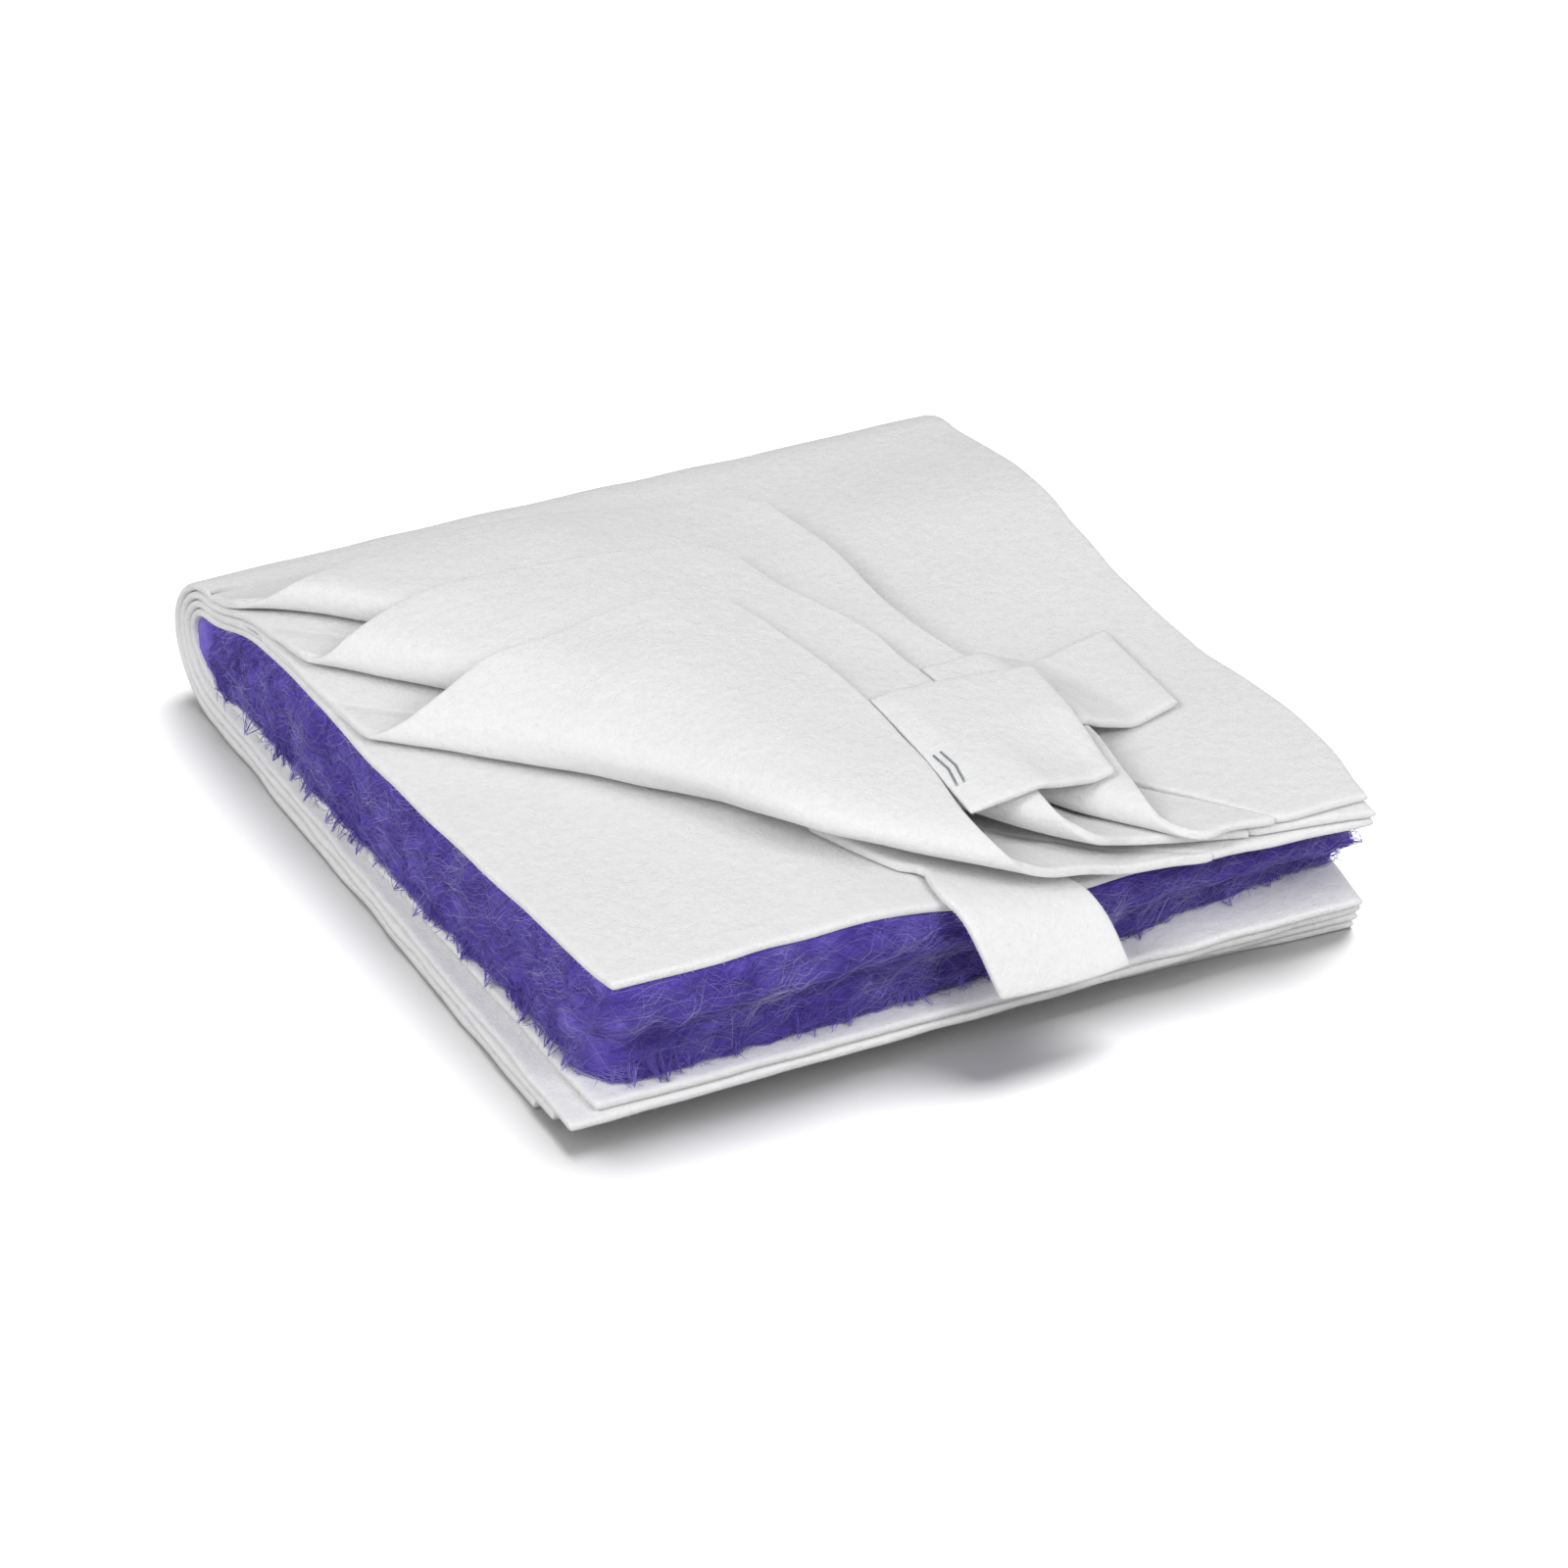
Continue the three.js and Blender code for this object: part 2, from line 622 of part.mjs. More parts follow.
function placedAt(surface, u, v, shift) {
  const p = surface(u, v);
  const d = slopeStepShare;
  const alongU = surface(u + d, v).sub(surface(u - d, v)).normalize();
  const alongV = surface(u, v + d).sub(surface(u, v - d)).normalize();
  const up = new THREE.Vector3().crossVectors(alongU, alongV).normalize();
  if (up.z < 0) up.negate();
  const side = new THREE.Vector3().crossVectors(up, alongV).normalize();
  const along = new THREE.Vector3().crossVectors(side, up).normalize();
  p.addScaledVector(side, shift);
  return new THREE.Matrix4().makeBasis(along, side, up).setPosition(p);
}

// Colours and finish
const feltWhite = new THREE.MeshStandardMaterial({ color: 0xf3f3f4, roughness: 0.95, metalness: 0 });
const tabWhite = new THREE.MeshStandardMaterial({ color: 0xf6f6f7, roughness: 0.95, metalness: 0 });
const fleecePurple = new THREE.MeshStandardMaterial({ color: 0x4d3da0, roughness: 0.9, metalness: 0 });
const stapleSteel = new THREE.MeshStandardMaterial({ color: 0x9a9da1, roughness: 0.35, metalness: 1 });

const pack = new THREE.Group();
pack.position.set(-sheetWidth / 2, -foldedDepth / 2, 0);
const pieces = {};
const fullThickness = () => 1;

function define(name, geometry, material) {
  pieces[name] = { geometry, material };
  return geometry;
}

// Steps along and across each kind of panel
const stepCounts = {
  lower: [3, 6], fold: [10, 3], roll: [16, 13], corner: [6, 13],
  root: [4, 6], free: [9, 6], bed: [8, 6], hang: [7, 6], fleece: [9, 8], fleeceFold: [8, 3],
};

for (let sheet = 1; sheet <= sheetCount; sheet += 1) {
  define(`sheet_${sheet}_lower`, felt(lowerPanel(sheet), ...stepCounts.lower, fullThickness), feltWhite);
  define(`sheet_${sheet}_fold`, felt(foldStrip(sheet), ...stepCounts.fold, foldPress), feltWhite);
}
define('sheet_4_upper', upperPanel(sheetCount), feltWhite);
for (let sheet = 1; sheet < sheetCount; sheet += 1) {
  define(`sheet_${sheet}_upper`, upperPanel(sheet), feltWhite);
  define(`sheet_${sheet}_roll`, felt(rollPart(sheet), ...stepCounts.roll), feltWhite);
  const seam = seamShare(sheet);
  const corner = cornerPart(sheet, (v) => splitAt(v) + seam * mix(1, seamSpreadShare, v), () => tipCutShare);
  define(`sheet_${sheet}_corner`, felt(corner, ...stepCounts.corner), feltWhite);
}

define('fleece_lower', gridSolid(
  fleeceLowerFrontShares,
  fleeceLeft,
  fleeceRight,
  () => whiteStack,
  (x, y) => fleeceMiddle(x, y) - fleeceSlit / 2,
), fleecePurple);
define('fleece_upper', gridSolid(
  upperFrontShares,
  fleeceLeft,
  fleeceRight,
  (x, y) => fleeceMiddle(x, y) + fleeceSlit / 2,
  (x, y) => fleeceTop(x, y),
), fleecePurple);
define('fleece_fold', solidBetween(
  fleeceArc(
    fleeceSlit / 2,
    (x) => fleeceMiddle(x, foldLine) - fleeceSlit / 2,
    (x) => fleeceMiddle(x, foldLine) + fleeceSlit / 2,
  ),
  fleeceArc(fleeceReach, () => whiteStack, (x) => fleeceTop(x, foldLine)),
  ...stepCounts.fleeceFold,
), fleecePurple);

// The tabs, each split at the line about which its free part bends
const tabSplitShares = { 1: 0.26, 2: 0.27, 3: 0.62 };
const tabSeamShare = 0.007;

function defineTab(tab, surface, rootCounts, freeCounts) {
  const split = tabSplitShares[tab];
  const root = (u, v) => surface(mix(0, split, u), v);
  const free = (u, v) => surface(mix(split + tabSeamShare, 1, u), v);
  define(`tab_${tab}_root`, felt(root, ...rootCounts, fullThickness), tabWhite);
  define(`tab_${tab}_free`, felt(free, ...freeCounts, fullThickness), tabWhite);
}

const outerCorner = ['sheet_1_upper', 'sheet_1_roll', 'sheet_1_corner'];
const secondTab = drapedTab(drapedTabShares[2], drapeOver(outerCorner.map((n) => pieces[n].geometry)));
defineTab(2, secondTab, stepCounts.root, stepCounts.free);
const underFirstTab = [
  ...outerCorner, 'sheet_2_upper', 'sheet_2_roll', 'sheet_2_corner', 'tab_2_root', 'tab_2_free',
];
const firstTab = drapedTab(drapedTabShares[1], drapeOver(underFirstTab.map((n) => pieces[n].geometry)));
defineTab(1, firstTab, stepCounts.root, stepCounts.free);
defineTab(3, hangingTab, stepCounts.bed, stepCounts.hang);

// Two staples hold each tab: where they sit on it, and which sheet piece they pass through
const stapleSeatShares = { 1: [0.19, 0.33], 2: [0.17, 0.5], 3: [0.1, 0.79] };
const stapleSeats = [
  { tab: 1, surface: firstTab, through: 'sheet_2_corner', above: true },
  { tab: 2, surface: secondTab, through: 'sheet_1_corner', above: true },
  { tab: 3, surface: hangingTab, through: 'sheet_3_upper', above: false },
];

for (const seat of stapleSeats) {
  ['a', 'b'].forEach((letter, n) => {
    const shift = (n - 0.5) * staplePitch;
    const place = placedAt(seat.surface, ...stapleSeatShares[seat.tab], shift);
    const onTab = seat.above ? feltHalf + stapleSunk : stapleFlush - feltHalf;
    const farFace = feltHalf + tabClearance + feltThickness - stapleFlush;
    const onSheet = farFace * (seat.above ? -1 : 1);
    const low = Math.min(onTab, onSheet);
    const high = Math.max(onTab, onSheet);
    const wire = stapleSolid(0, low, high).transform(place.elements);
    const hollow = stapleSolid(staplePlay, low, high, holeOverrun).transform(place.elements);
    define(`staple_${seat.tab}${letter}`, geometryOf(wire), stapleSteel);
    for (const name of [`tab_${seat.tab}_root`, seat.through]) {
      pieces[name].geometry = geometryOf(solidOf(pieces[name].geometry).subtract(hollow));
    }
  });
}

for (const [name, { geometry, material }] of Object.entries(pieces)) {
  const mesh = new THREE.Mesh(geometry, material);
  mesh.name = name;
  pack.add(mesh);
}

export default pack;
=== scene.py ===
import math
import warnings
import bpy
import numpy as np
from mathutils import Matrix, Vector


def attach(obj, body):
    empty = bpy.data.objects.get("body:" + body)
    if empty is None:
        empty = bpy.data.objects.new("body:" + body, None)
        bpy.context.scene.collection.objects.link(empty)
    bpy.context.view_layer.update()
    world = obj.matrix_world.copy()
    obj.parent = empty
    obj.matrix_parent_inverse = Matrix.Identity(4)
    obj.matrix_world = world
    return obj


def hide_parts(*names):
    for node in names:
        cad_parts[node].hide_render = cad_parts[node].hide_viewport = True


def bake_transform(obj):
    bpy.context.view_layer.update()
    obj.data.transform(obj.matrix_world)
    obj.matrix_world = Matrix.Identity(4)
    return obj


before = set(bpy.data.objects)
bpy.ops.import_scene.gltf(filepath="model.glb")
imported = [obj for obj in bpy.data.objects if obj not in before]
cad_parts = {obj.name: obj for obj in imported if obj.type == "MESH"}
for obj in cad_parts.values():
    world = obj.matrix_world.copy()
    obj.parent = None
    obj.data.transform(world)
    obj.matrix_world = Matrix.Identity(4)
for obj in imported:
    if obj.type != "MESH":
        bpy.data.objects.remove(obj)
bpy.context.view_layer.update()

# Lengths are in millimetres from the pack's near left corner, X along the open front edge,
# Y to the fold and Z up, until to_row() turns them into metres in the part's frame.
SHEET_WIDTH = 212.5
DEPTH = 241.5
FOLD_HEIGHT = 38.5
FOLD_REACH = 24.6
SHEETS = 4
FELT = 2.5
GAP = .35
PITCH = FELT + GAP
HALF = FELT / 2
WHITE_STACK = SHEETS * PITCH
FOLD_LINE = DEPTH - FOLD_REACH

# The layers lie closer together at the fold: in height, from a share of the way to it, and in reach
FOLD_PRESS = .8
PRESS_FROM = .75
FOLD_PITCH = .93
FLEECE_FOLD_TOP = FOLD_HEIGHT - WHITE_STACK * FOLD_PRESS
FLEECE_REACH = FOLD_REACH - WHITE_STACK * FOLD_PITCH

# Outlines of the sheets and the fleece, in shares of the width and of the depth
LOWER_FRONT = {1: [(0, .076), (1, 0)], 2: [(0, .034), (1, -.004)],
               3: [(0, -.008), (1, -.008)], 4: [(0, -.004), (1, -.015)]}
LOWER_LEFT = {1: [(0, 0), (1, .003)], 2: [(0, 0), (1, .004)],
              3: [(0, .002), (1, .006)], 4: [(0, .035), (1, .012)]}
INNER_FRONT = [(0, -.013), (.3, -.013), (.45, -.002), (.65, .015), (1, .01)]
UPPER_FRONT = {1: [(0, -.014), (1, -.014)], 2: [(0, -.004), (.7, -.004), (1, -.028)],
               3: [(0, -.011), (.7, -.011), (1, -.025)], 4: INNER_FRONT}
UPPER_LEFT = [(-.02, .053), (.03, .046), (.11, .041), (.24, .033), (.45, .0225), (.69, .019),
              (.8, .015), (.91, .008)]
FLEECE_FRONT = [(0, .02), (.3, .023), (.5, .03), (.7, .034), (.8, .048), (.9, .058), (1, .064)]
FLEECE_LEFT = [(-.02, .056), (.25, .045), (.5, .03), (.8, .024), (.92, .014)]
FLEECE_RIGHT = .985
EDGE_BOW = 4.6
BOW_ALONG = [(-.03, 0), (0, .1), (.06, .6), (.16, 1), (.28, .45), (.45, .2), (.6, .45), (.76, 1),
             (.86, 1.05), (.95, 1), (1, .8)]

# The top of the fleece: it puffs up to the left, sags at the fold and billows at the right
PUFF = 12.2
PUFF_ALONG = [(0, 0), (.12, .55), (.24, .68), (.5, .72), (.74, .86), (.88, .96), (1.02, 1)]
PUFF_ACROSS = (.33, .66)
FOLD_SAG = 2.4
SAG_ALONG = (.5, .9)
EDGE_BILLOW = 3.5
BILLOW_ACROSS = .6
BILLOW_HIGH = (.5, .72, .95)
BILLOW_LOW = (.14, .37, .58)
BILLOW_DIP = .6

# The turned corners: left and front rims as shares of width, depth and the corner's lift
RIMS = {
    3: {"left": [(.0215, .6, 0), (.026, .557, 0), (.033, .52, .03), (.058, .5, .17),
                 (.101, .489, .42), (.174, .495, .7), (.241, .49, .78), (.295, .5, .8),
                 (.457, .507, .89)],
        "front": [(.8, -.011, 0), (.728, -.011, .05), (.64, -.013, .13), (.584, -.018, .27),
                  (.546, -.018, .4), (.52, .018, .55), (.516, .096, .69), (.514, .242, .84),
                  (.49, .397, .89), (.457, .507, .89)]},
    2: {"left": [(.0185, .765, 0), (.022, .715, 0), (.029, .676, .03), (.044, .652, .2),
                 (.071, .644, .5), (.142, .656, .74), (.21, .66, .82), (.323, .649, .85),
                 (.535, .626, 1)],
        "front": [(.85, -.005, 0), (.78, .004, .05), (.704, .008, .24), (.653, -.004, .56),
                  (.623, .022, .84), (.624, .139, .97), (.621, .305, .99), (.605, .418, 1.02),
                  (.562, .523, 1.02), (.535, .626, 1)]},
    1: {"left": [(.011, .885, 0), (.013, .84, 0), (.031, .802, .27), (.06, .777, .8),
                 (.134, .789, .95), (.195, .801, .98), (.285, .801, .98), (.448, .789, 1),
                 (.663, .772, 1.1)],
        "front": [(.88, -.013, 0), (.82, -.013, .08), (.783, -.019, .18), (.75, .005, .51),
                  (.7425, .026, .85), (.745, .08, .98), (.757, .184, 1.02), (.703, .366, 1.08),
                  (.684, .458, 1.08), (.684, .623, 1.06), (.663, .772, 1.1)]},
}
RIM_STEPS = 40
TIP_CUT = .985
CORNER_AIR = 5
TURN_AIR = .8
TURN_AIR_FULL = .06
CREASE_BOW = 14
CREASE_BOW_ALONG = [(0, 0), (.25, .11), (.48, .45), (.68, 1), (.8, .8), (.9, .38), (1, 0)]
CREASE_BOW_OF = {1: 0, 2: .1, 3: 1}
BOW_FADE = (.3, .75)
STEP_FADE = {1: .5, 2: 1, 3: 1}

# The tabs, in rows from the stapled end: share along it, its left and right sides, each side's drop
TABS = {
    3: [(0, (.385, .155), (.552, .245), (0, 0)), (.22, (.415, .098), (.574, .15), (0, 0)),
        (.4, (.446, .056), (.597, .085), (0, 0)), (.425, (.466, .053), (.601, .075), (0, 0)),
        (.5, (.462, .03), (.613, .048), (0, 0)), (.62, (.457, -.006), (.635, -.004), (0, 0)),
        (.7, (.464, -.03), (.64, -.029), (.035, .03)), (.8, (.472, -.051), (.645, -.05), (.17, .12)),
        (1, (.49, -.075), (.653, -.075), (.49, .33))],
    1: [(0, (.5205, .04), (.5185, .25)), (.3, (.575, .045), (.572, .26)),
        (.6, (.64, .056), (.645, .268)), (1, (.726, .075), (.742, .272))],
    2: [(0, (.632, .168), (.63, .328)), (.2, (.676, .167), (.678, .334)),
        (.58, (.76, .176), (.775, .35)), (1, (.902, .218), (.914, .388))],
}
TAB_BED = {"x": (.33, .38, .62, .7), "y": (-.06, -.03, .24, .32)}
TAB_CLEARANCE = .5
HANG_EDGE = -.012
STAPLED_PRESS = .6
STAPLED_UNTIL = .22


# Curves
def smooth(x, lo, hi):
    t = np.clip((x - lo) / (hi - lo), 0, 1)
    return t * t * (3 - 2 * t)


def mix(a, b, t):
    return a + (b - a) * t


def bell(at, shares):
    lo, peak, hi = shares
    return smooth(at, lo, peak) * (1 - smooth(at, peak, hi))


def unit(vectors):
    return vectors / np.maximum(np.linalg.norm(vectors, axis=-1, keepdims=True), 1e-9)


def through(pairs, at):
    """A smooth curve through the pairs, read at these places."""
    p = np.array(pairs, float)
    xs, ys = p[:, 0], p[:, 1]
    slopes = np.empty(len(xs))
    for j in range(len(xs)):
        a, b = max(j - 1, 0), min(j + 1, len(xs) - 1)
        slopes[j] = (ys[b] - ys[a]) / (xs[b] - xs[a])
    at = np.asarray(at, float)
    n = np.clip(np.searchsorted(xs, at, side="right") - 1, 0, len(xs) - 2)
    span = xs[n + 1] - xs[n]
    s = np.clip((at - xs[n]) / span, 0, 1)
    return ((2 * s**3 - 3 * s**2 + 1) * ys[n] + (s**3 - 2 * s**2 + s) * span * slopes[n]
            + (3 * s**2 - 2 * s**3) * ys[n + 1] + (s**3 - s**2) * span * slopes[n + 1])


def running_length(line):
    return np.concatenate([[0], np.cumsum(np.linalg.norm(np.diff(line, axis=0), axis=1))])


def between(at, places, points):
    """Points known at these places, read straight between them."""
    return np.stack([np.interp(at, places, points[:, c]) for c in range(3)], -1)


def rim_curve(points):
    """A centripetal curve through the points, as a function of the share of its length."""
    p = np.array(points, float)
    p = np.vstack([2 * p[0] - p[1], p, 2 * p[-1] - p[-2]])
    s = np.linspace(0, 1, RIM_STEPS, endpoint=False)[:, None]
    out = []
    for i in range(1, len(p) - 2):
        p0, p1, p2, p3 = p[i - 1:i + 3]
        d = [max(np.linalg.norm(b - a) ** .5, 1e-4) for a, b in ((p0, p1), (p1, p2), (p2, p3))]
        t1 = ((p1 - p0) / d[0] - (p2 - p0) / (d[0] + d[1]) + (p2 - p1) / d[1]) * d[1]
        t2 = ((p2 - p1) / d[1] - (p3 - p1) / (d[1] + d[2]) + (p3 - p2) / d[2]) * d[1]
        out.append((2 * s**3 - 3 * s**2 + 1) * p1 + (s**3 - 2 * s**2 + s) * t1
                   + (3 * s**2 - 2 * s**3) * p2 + (s**3 - s**2) * t2)
    line = np.vstack(out + [p[-2][None]])
    length = running_length(line)
    return lambda u: between(u, length / length[-1], line)


WAVE_COUNT = 7


def waves(x, y, size, seed):
    """Smooth unevenness, mostly from -1 to 1, with hills about size apart."""
    r = np.random.default_rng(seed)
    total = np.zeros(np.broadcast(x, y).shape)
    for _ in range(WAVE_COUNT):
        angle, phase = r.uniform(0, 2 * np.pi), r.uniform(0, 2 * np.pi)
        scale = size * r.uniform(.7, 1.6)
        total += np.sin((x * np.cos(angle) + y * np.sin(angle)) * 2 * np.pi / scale + phase)
    return total / 4


# Outlines and heights of the layers
def right_edge(y):
    return SHEET_WIDTH + EDGE_BOW * through(BOW_ALONG, y / DEPTH)


def upper_left(y):
    return through(UPPER_LEFT, y / DEPTH) * SHEET_WIDTH


def fleece_left(y):
    return through(FLEECE_LEFT, y / DEPTH) * SHEET_WIDTH


def fleece_top(x, y):
    across = smooth(x, PUFF_ACROSS[0] * SHEET_WIDTH, PUFF_ACROSS[1] * SHEET_WIDTH)
    depth = y / DEPTH
    to_right = smooth(x, BILLOW_ACROSS * SHEET_WIDTH, SHEET_WIDTH)
    billow = bell(depth, BILLOW_HIGH) - BILLOW_DIP * bell(depth, BILLOW_LOW)
    sag = FOLD_SAG * smooth(x, PUFF_ACROSS[0] * SHEET_WIDTH, SHEET_WIDTH) * smooth(depth, *SAG_ALONG)
    puff = PUFF * through(PUFF_ALONG, (FOLD_LINE - y) / FOLD_LINE) * (1 - across)
    return FLEECE_FOLD_TOP + puff + EDGE_BILLOW * billow * to_right - sag


def fleece_middle(x, y):
    return (WHITE_STACK + fleece_top(x, y)) / 2


def pressed(y):
    return mix(1, FOLD_PRESS, smooth(y, PRESS_FROM * FOLD_LINE, FOLD_LINE))


def over_tab(x, y):
    """How far the sheets above tab 3 rise over it."""
    bx = [s * SHEET_WIDTH for s in TAB_BED["x"]]
    by = [s * DEPTH for s in TAB_BED["y"]]
    across = smooth(x, bx[0], bx[1]) * (1 - smooth(x, bx[2], bx[3]))
    return (PITCH + TAB_CLEARANCE) * across * smooth(y, by[0], by[1]) * (1 - smooth(y, by[2], by[3]))


def lower_middle(k):
    return HALF + (k - 1) * PITCH


def sheet_height(k, x, y):
    """The height of the middle of sheet k's upper panel."""
    step = over_tab(x, y) if k < SHEETS else 0
    return fleece_top(x, y) + ((SHEETS - k) * PITCH + GAP + HALF) * pressed(y) + step


def rim_root(k, side):
    """The plan place where a rim of turned corner k leaves its sheet."""
    return np.array([RIMS[k][side][0][0] * SHEET_WIDTH, RIMS[k][side][0][1] * DEPTH])


def crease(k, v):
    """Places along crease k, the way out of it in plan, and how far it bows that way."""
    a, b = rim_root(k, "left"), rim_root(k, "front")
    along = (b - a) / np.linalg.norm(b - a)
    outward = np.array([along[1], -along[0]])
    bow = CREASE_BOW * CREASE_BOW_OF[k] * through(CREASE_BOW_ALONG, v)
    return mix(a, b, v[..., None]) + outward * bow[..., None], outward, bow


def corner_surface(k, u, v):
    """A place on turned corner k: u from its crease to its tip, v from its left to its front rim."""
    lift = (3 * k - 2) * PITCH + CORNER_AIR
    rims = [rim_curve([(x * SHEET_WIDTH, y * DEPTH, z * lift) for x, y, z in RIMS[k][side]])
            for side in ("left", "front")]
    p = mix(rims[0](u), rims[1](u), v[..., None])
    _, outward, bow = crease(k, v)
    fade = bow * (1 - smooth(u, *BOW_FADE))
    x = p[..., 0] + outward[0] * fade
    y = p[..., 1] + outward[1] * fade
    step = over_tab(x, y) * smooth(p[..., 2], 0, 3 * PITCH) * STEP_FADE[k]
    air = TURN_AIR * smooth(u, 0, TURN_AIR_FULL)
    return np.stack([x, y, sheet_height(k, x, y) + air + p[..., 2] - step], -1)


# Meshes
def to_row(points):
    """Millimetres from the near left corner to metres in the part's frame."""
    p = np.asarray(points, float).reshape(-1, 3)
    return (p - [SHEET_WIDTH / 2, DEPTH / 2, 0]) / 1000


def new_object(name, points, faces, material):
    mesh = bpy.data.meshes.new(name)
    mesh.from_pydata(to_row(points).tolist(), [], faces)
    mesh.update()
    mesh.polygons.foreach_set("use_smooth", [True] * len(mesh.polygons))
    mesh.materials.append(material)
    obj = bpy.data.objects.new(name, mesh)
    bpy.context.scene.collection.objects.link(obj)
    return obj


def tube_faces(count, rings, sides, start=0):
    """The faces of closed tubes whose points follow one another, ring by ring."""
    first = (start + np.arange(count) * rings * sides)[:, None, None]
    row = (np.arange(rings - 1) * sides)[None, :, None]
    q = np.arange(sides)[None, None, :]
    nxt = (q + 1) % sides
    low, high = first + row, first + row + sides
    quads = np.stack([low + q, low + nxt, high + nxt, high + q], -1)
    ring = np.arange(sides)
    ends = np.concatenate([first[:, 0] + ring[::-1], first[:, 0] + (rings - 1) * sides + ring])
    return quads.reshape(-1, 4).tolist() + ends.tolist()


def tubes(name, paths, radii, sides, across, material):
    """Closed tubes: paths is tubes x points x 3 and radii is tubes x points, in millimetres."""
    ahead = unit(np.gradient(paths, axis=1))
    side = unit(np.cross(ahead, across))
    other = np.cross(ahead, side)
    angle = np.arange(sides) * 2 * np.pi / sides
    ring = np.cos(angle)[:, None] * side[:, :, None] + np.sin(angle)[:, None] * other[:, :, None]
    points = paths[:, :, None] + ring * radii[:, :, None, None]
    return new_object(name, points, tube_faces(*paths.shape[:2], sides), material)


# The felt's round edge: distances from the edge and the share of the thickness there
EDGE_STEPS = (0, .35, .9, 1.9)
EDGE_SHARES = (.42, .78, .95, 1)


def lines(length, step):
    """Places along a side of that length, close together near both ends where the edge is round."""
    inner = np.linspace(EDGE_STEPS[-1], length - EDGE_STEPS[-1], max(int(length / step), 2))
    at = np.concatenate([EDGE_STEPS[:-1], inner, length - np.array(EDGE_STEPS[:-1])[::-1]])
    round_off = np.ones(len(at))
    for i, share in enumerate(EDGE_SHARES[:-1]):
        round_off[i] = round_off[-1 - i] = share
    return at / length, round_off


# Loose hairs at the cut edges. The root lies HAIR_ROOT inside the edge and up to HAIR_SPREAD above
# or below the middle; lean and bend are spreads upwards and along the edge.
HAIRS_PER_MM = 2.6
HAIR_RADIUS = .035
HAIR_LENGTH = (.25, 1.15)
HAIR_ROOT = .35
HAIR_SPREAD = .7
HAIR_LEAN = (.45, .8)
HAIR_BEND = (.25, .35)
HAIR_TAPER = (1, .8, .3)


def hairs(grid, n, sides, seed):
    """Short fibres that stand out from these sides of a grid: hairs x rings x 3 points x 3."""
    r = np.random.default_rng(seed)
    edges = {"start": (grid[0], grid[3], n[3]), "end": (grid[-1], grid[-4], n[-4]),
             "left": (grid[:, 0], grid[:, 3], n[:, 3]),
             "right": (grid[:, -1], grid[:, -4], n[:, -4])}
    taper = np.array(HAIR_TAPER)[:, None, None]
    out = []
    for side in sides:
        line, inner, up = edges[side]
        length = running_length(line)
        at = r.uniform(0, length[-1], int(length[-1] * HAIRS_PER_MM))
        each = (len(at), 1)
        away = between(at, length, unit(line - inner))
        up, base = between(at, length, up), between(at, length, line)
        cross = np.cross(away, up)
        base = base + up * r.uniform(-HAIR_SPREAD, HAIR_SPREAD, each) - away * HAIR_ROOT
        lean_up = up * r.normal(0, HAIR_LEAN[0], each)
        way = unit(away + lean_up + cross * r.normal(0, HAIR_LEAN[1], each))
        size = r.uniform(*HAIR_LENGTH, each) + HAIR_ROOT
        bend_up = up * r.normal(0, HAIR_BEND[0], each)
        bend = (bend_up + cross * r.normal(0, HAIR_BEND[1], each)) * size
        middle = base + way * size * .55 + bend * .3
        path = np.stack([base, middle, base + way * size + bend], 1)
        ring = np.stack([cross, -.5 * cross + .87 * up, -.5 * cross - .87 * up], 1) * HAIR_RADIUS
        out.append(path[:, :, None] + ring[:, None] * taper)
    return np.concatenate(out)


def normals_of(grid):
    return unit(np.cross(np.gradient(grid, axis=1), np.gradient(grid, axis=0)))


def shell(name, grid, half, material, loose, seed):
    """A closed sheet around a grid of middle points, half the thickness to each side."""
    n = normals_of(grid)
    rows, cols = grid.shape[:2]
    points = np.concatenate([(grid - n * half[..., None]).reshape(-1, 3),
                             (grid + n * half[..., None]).reshape(-1, 3)])
    count = rows * cols
    i, j = np.meshgrid(np.arange(rows - 1), np.arange(cols - 1), indexing="ij")
    a = (i * cols + j).ravel()
    under = np.stack([a, a + cols, a + cols + 1, a + 1], -1)
    over = np.stack([a, a + 1, a + cols + 1, a + cols], -1) + count
    rim = np.concatenate([np.arange(cols), np.arange(1, rows) * cols + cols - 1,
                          (rows - 1) * cols + np.arange(cols - 2, -1, -1),
                          np.arange(rows - 2, 0, -1) * cols])
    nxt = np.roll(rim, -1)
    wall = np.stack([rim, nxt, nxt + count, rim + count], -1)
    more = hairs(grid, n, loose, seed)
    faces = np.concatenate([under, over, wall]).tolist()
    faces += tube_faces(*more.shape[:3], start=len(points))
    return new_object(name, np.concatenate([points, more.reshape(-1, 3)]), faces, material)


# Materials
def nodes_of(name):
    material = bpy.data.materials.new(name)
    material.use_nodes = True
    tree = material.node_tree
    return material, tree.nodes, tree.links, tree.nodes["Principled BSDF"]


def set_inputs(node, values):
    for name, value in values.items():
        node.inputs[name].default_value = value


def noise(nodes, links, vector, scale, detail=4, rough=.6):
    n = nodes.new("ShaderNodeTexNoise")
    set_inputs(n, {"Scale": scale, "Detail": detail, "Roughness": rough})
    links.new(vector, n.inputs["Vector"])
    return n.outputs["Fac"]


def ramp(nodes, links, value, stops):
    r = nodes.new("ShaderNodeValToRGB")
    links.new(value, r.inputs["Fac"])
    for element, (at, colour) in zip(r.color_ramp.elements, (stops[0], stops[-1])):
        element.position, element.color = at, (*colour, 1)
    for at, colour in stops[1:-1]:
        r.color_ramp.elements.new(at).color = (*colour, 1)
    return r.outputs["Color"]


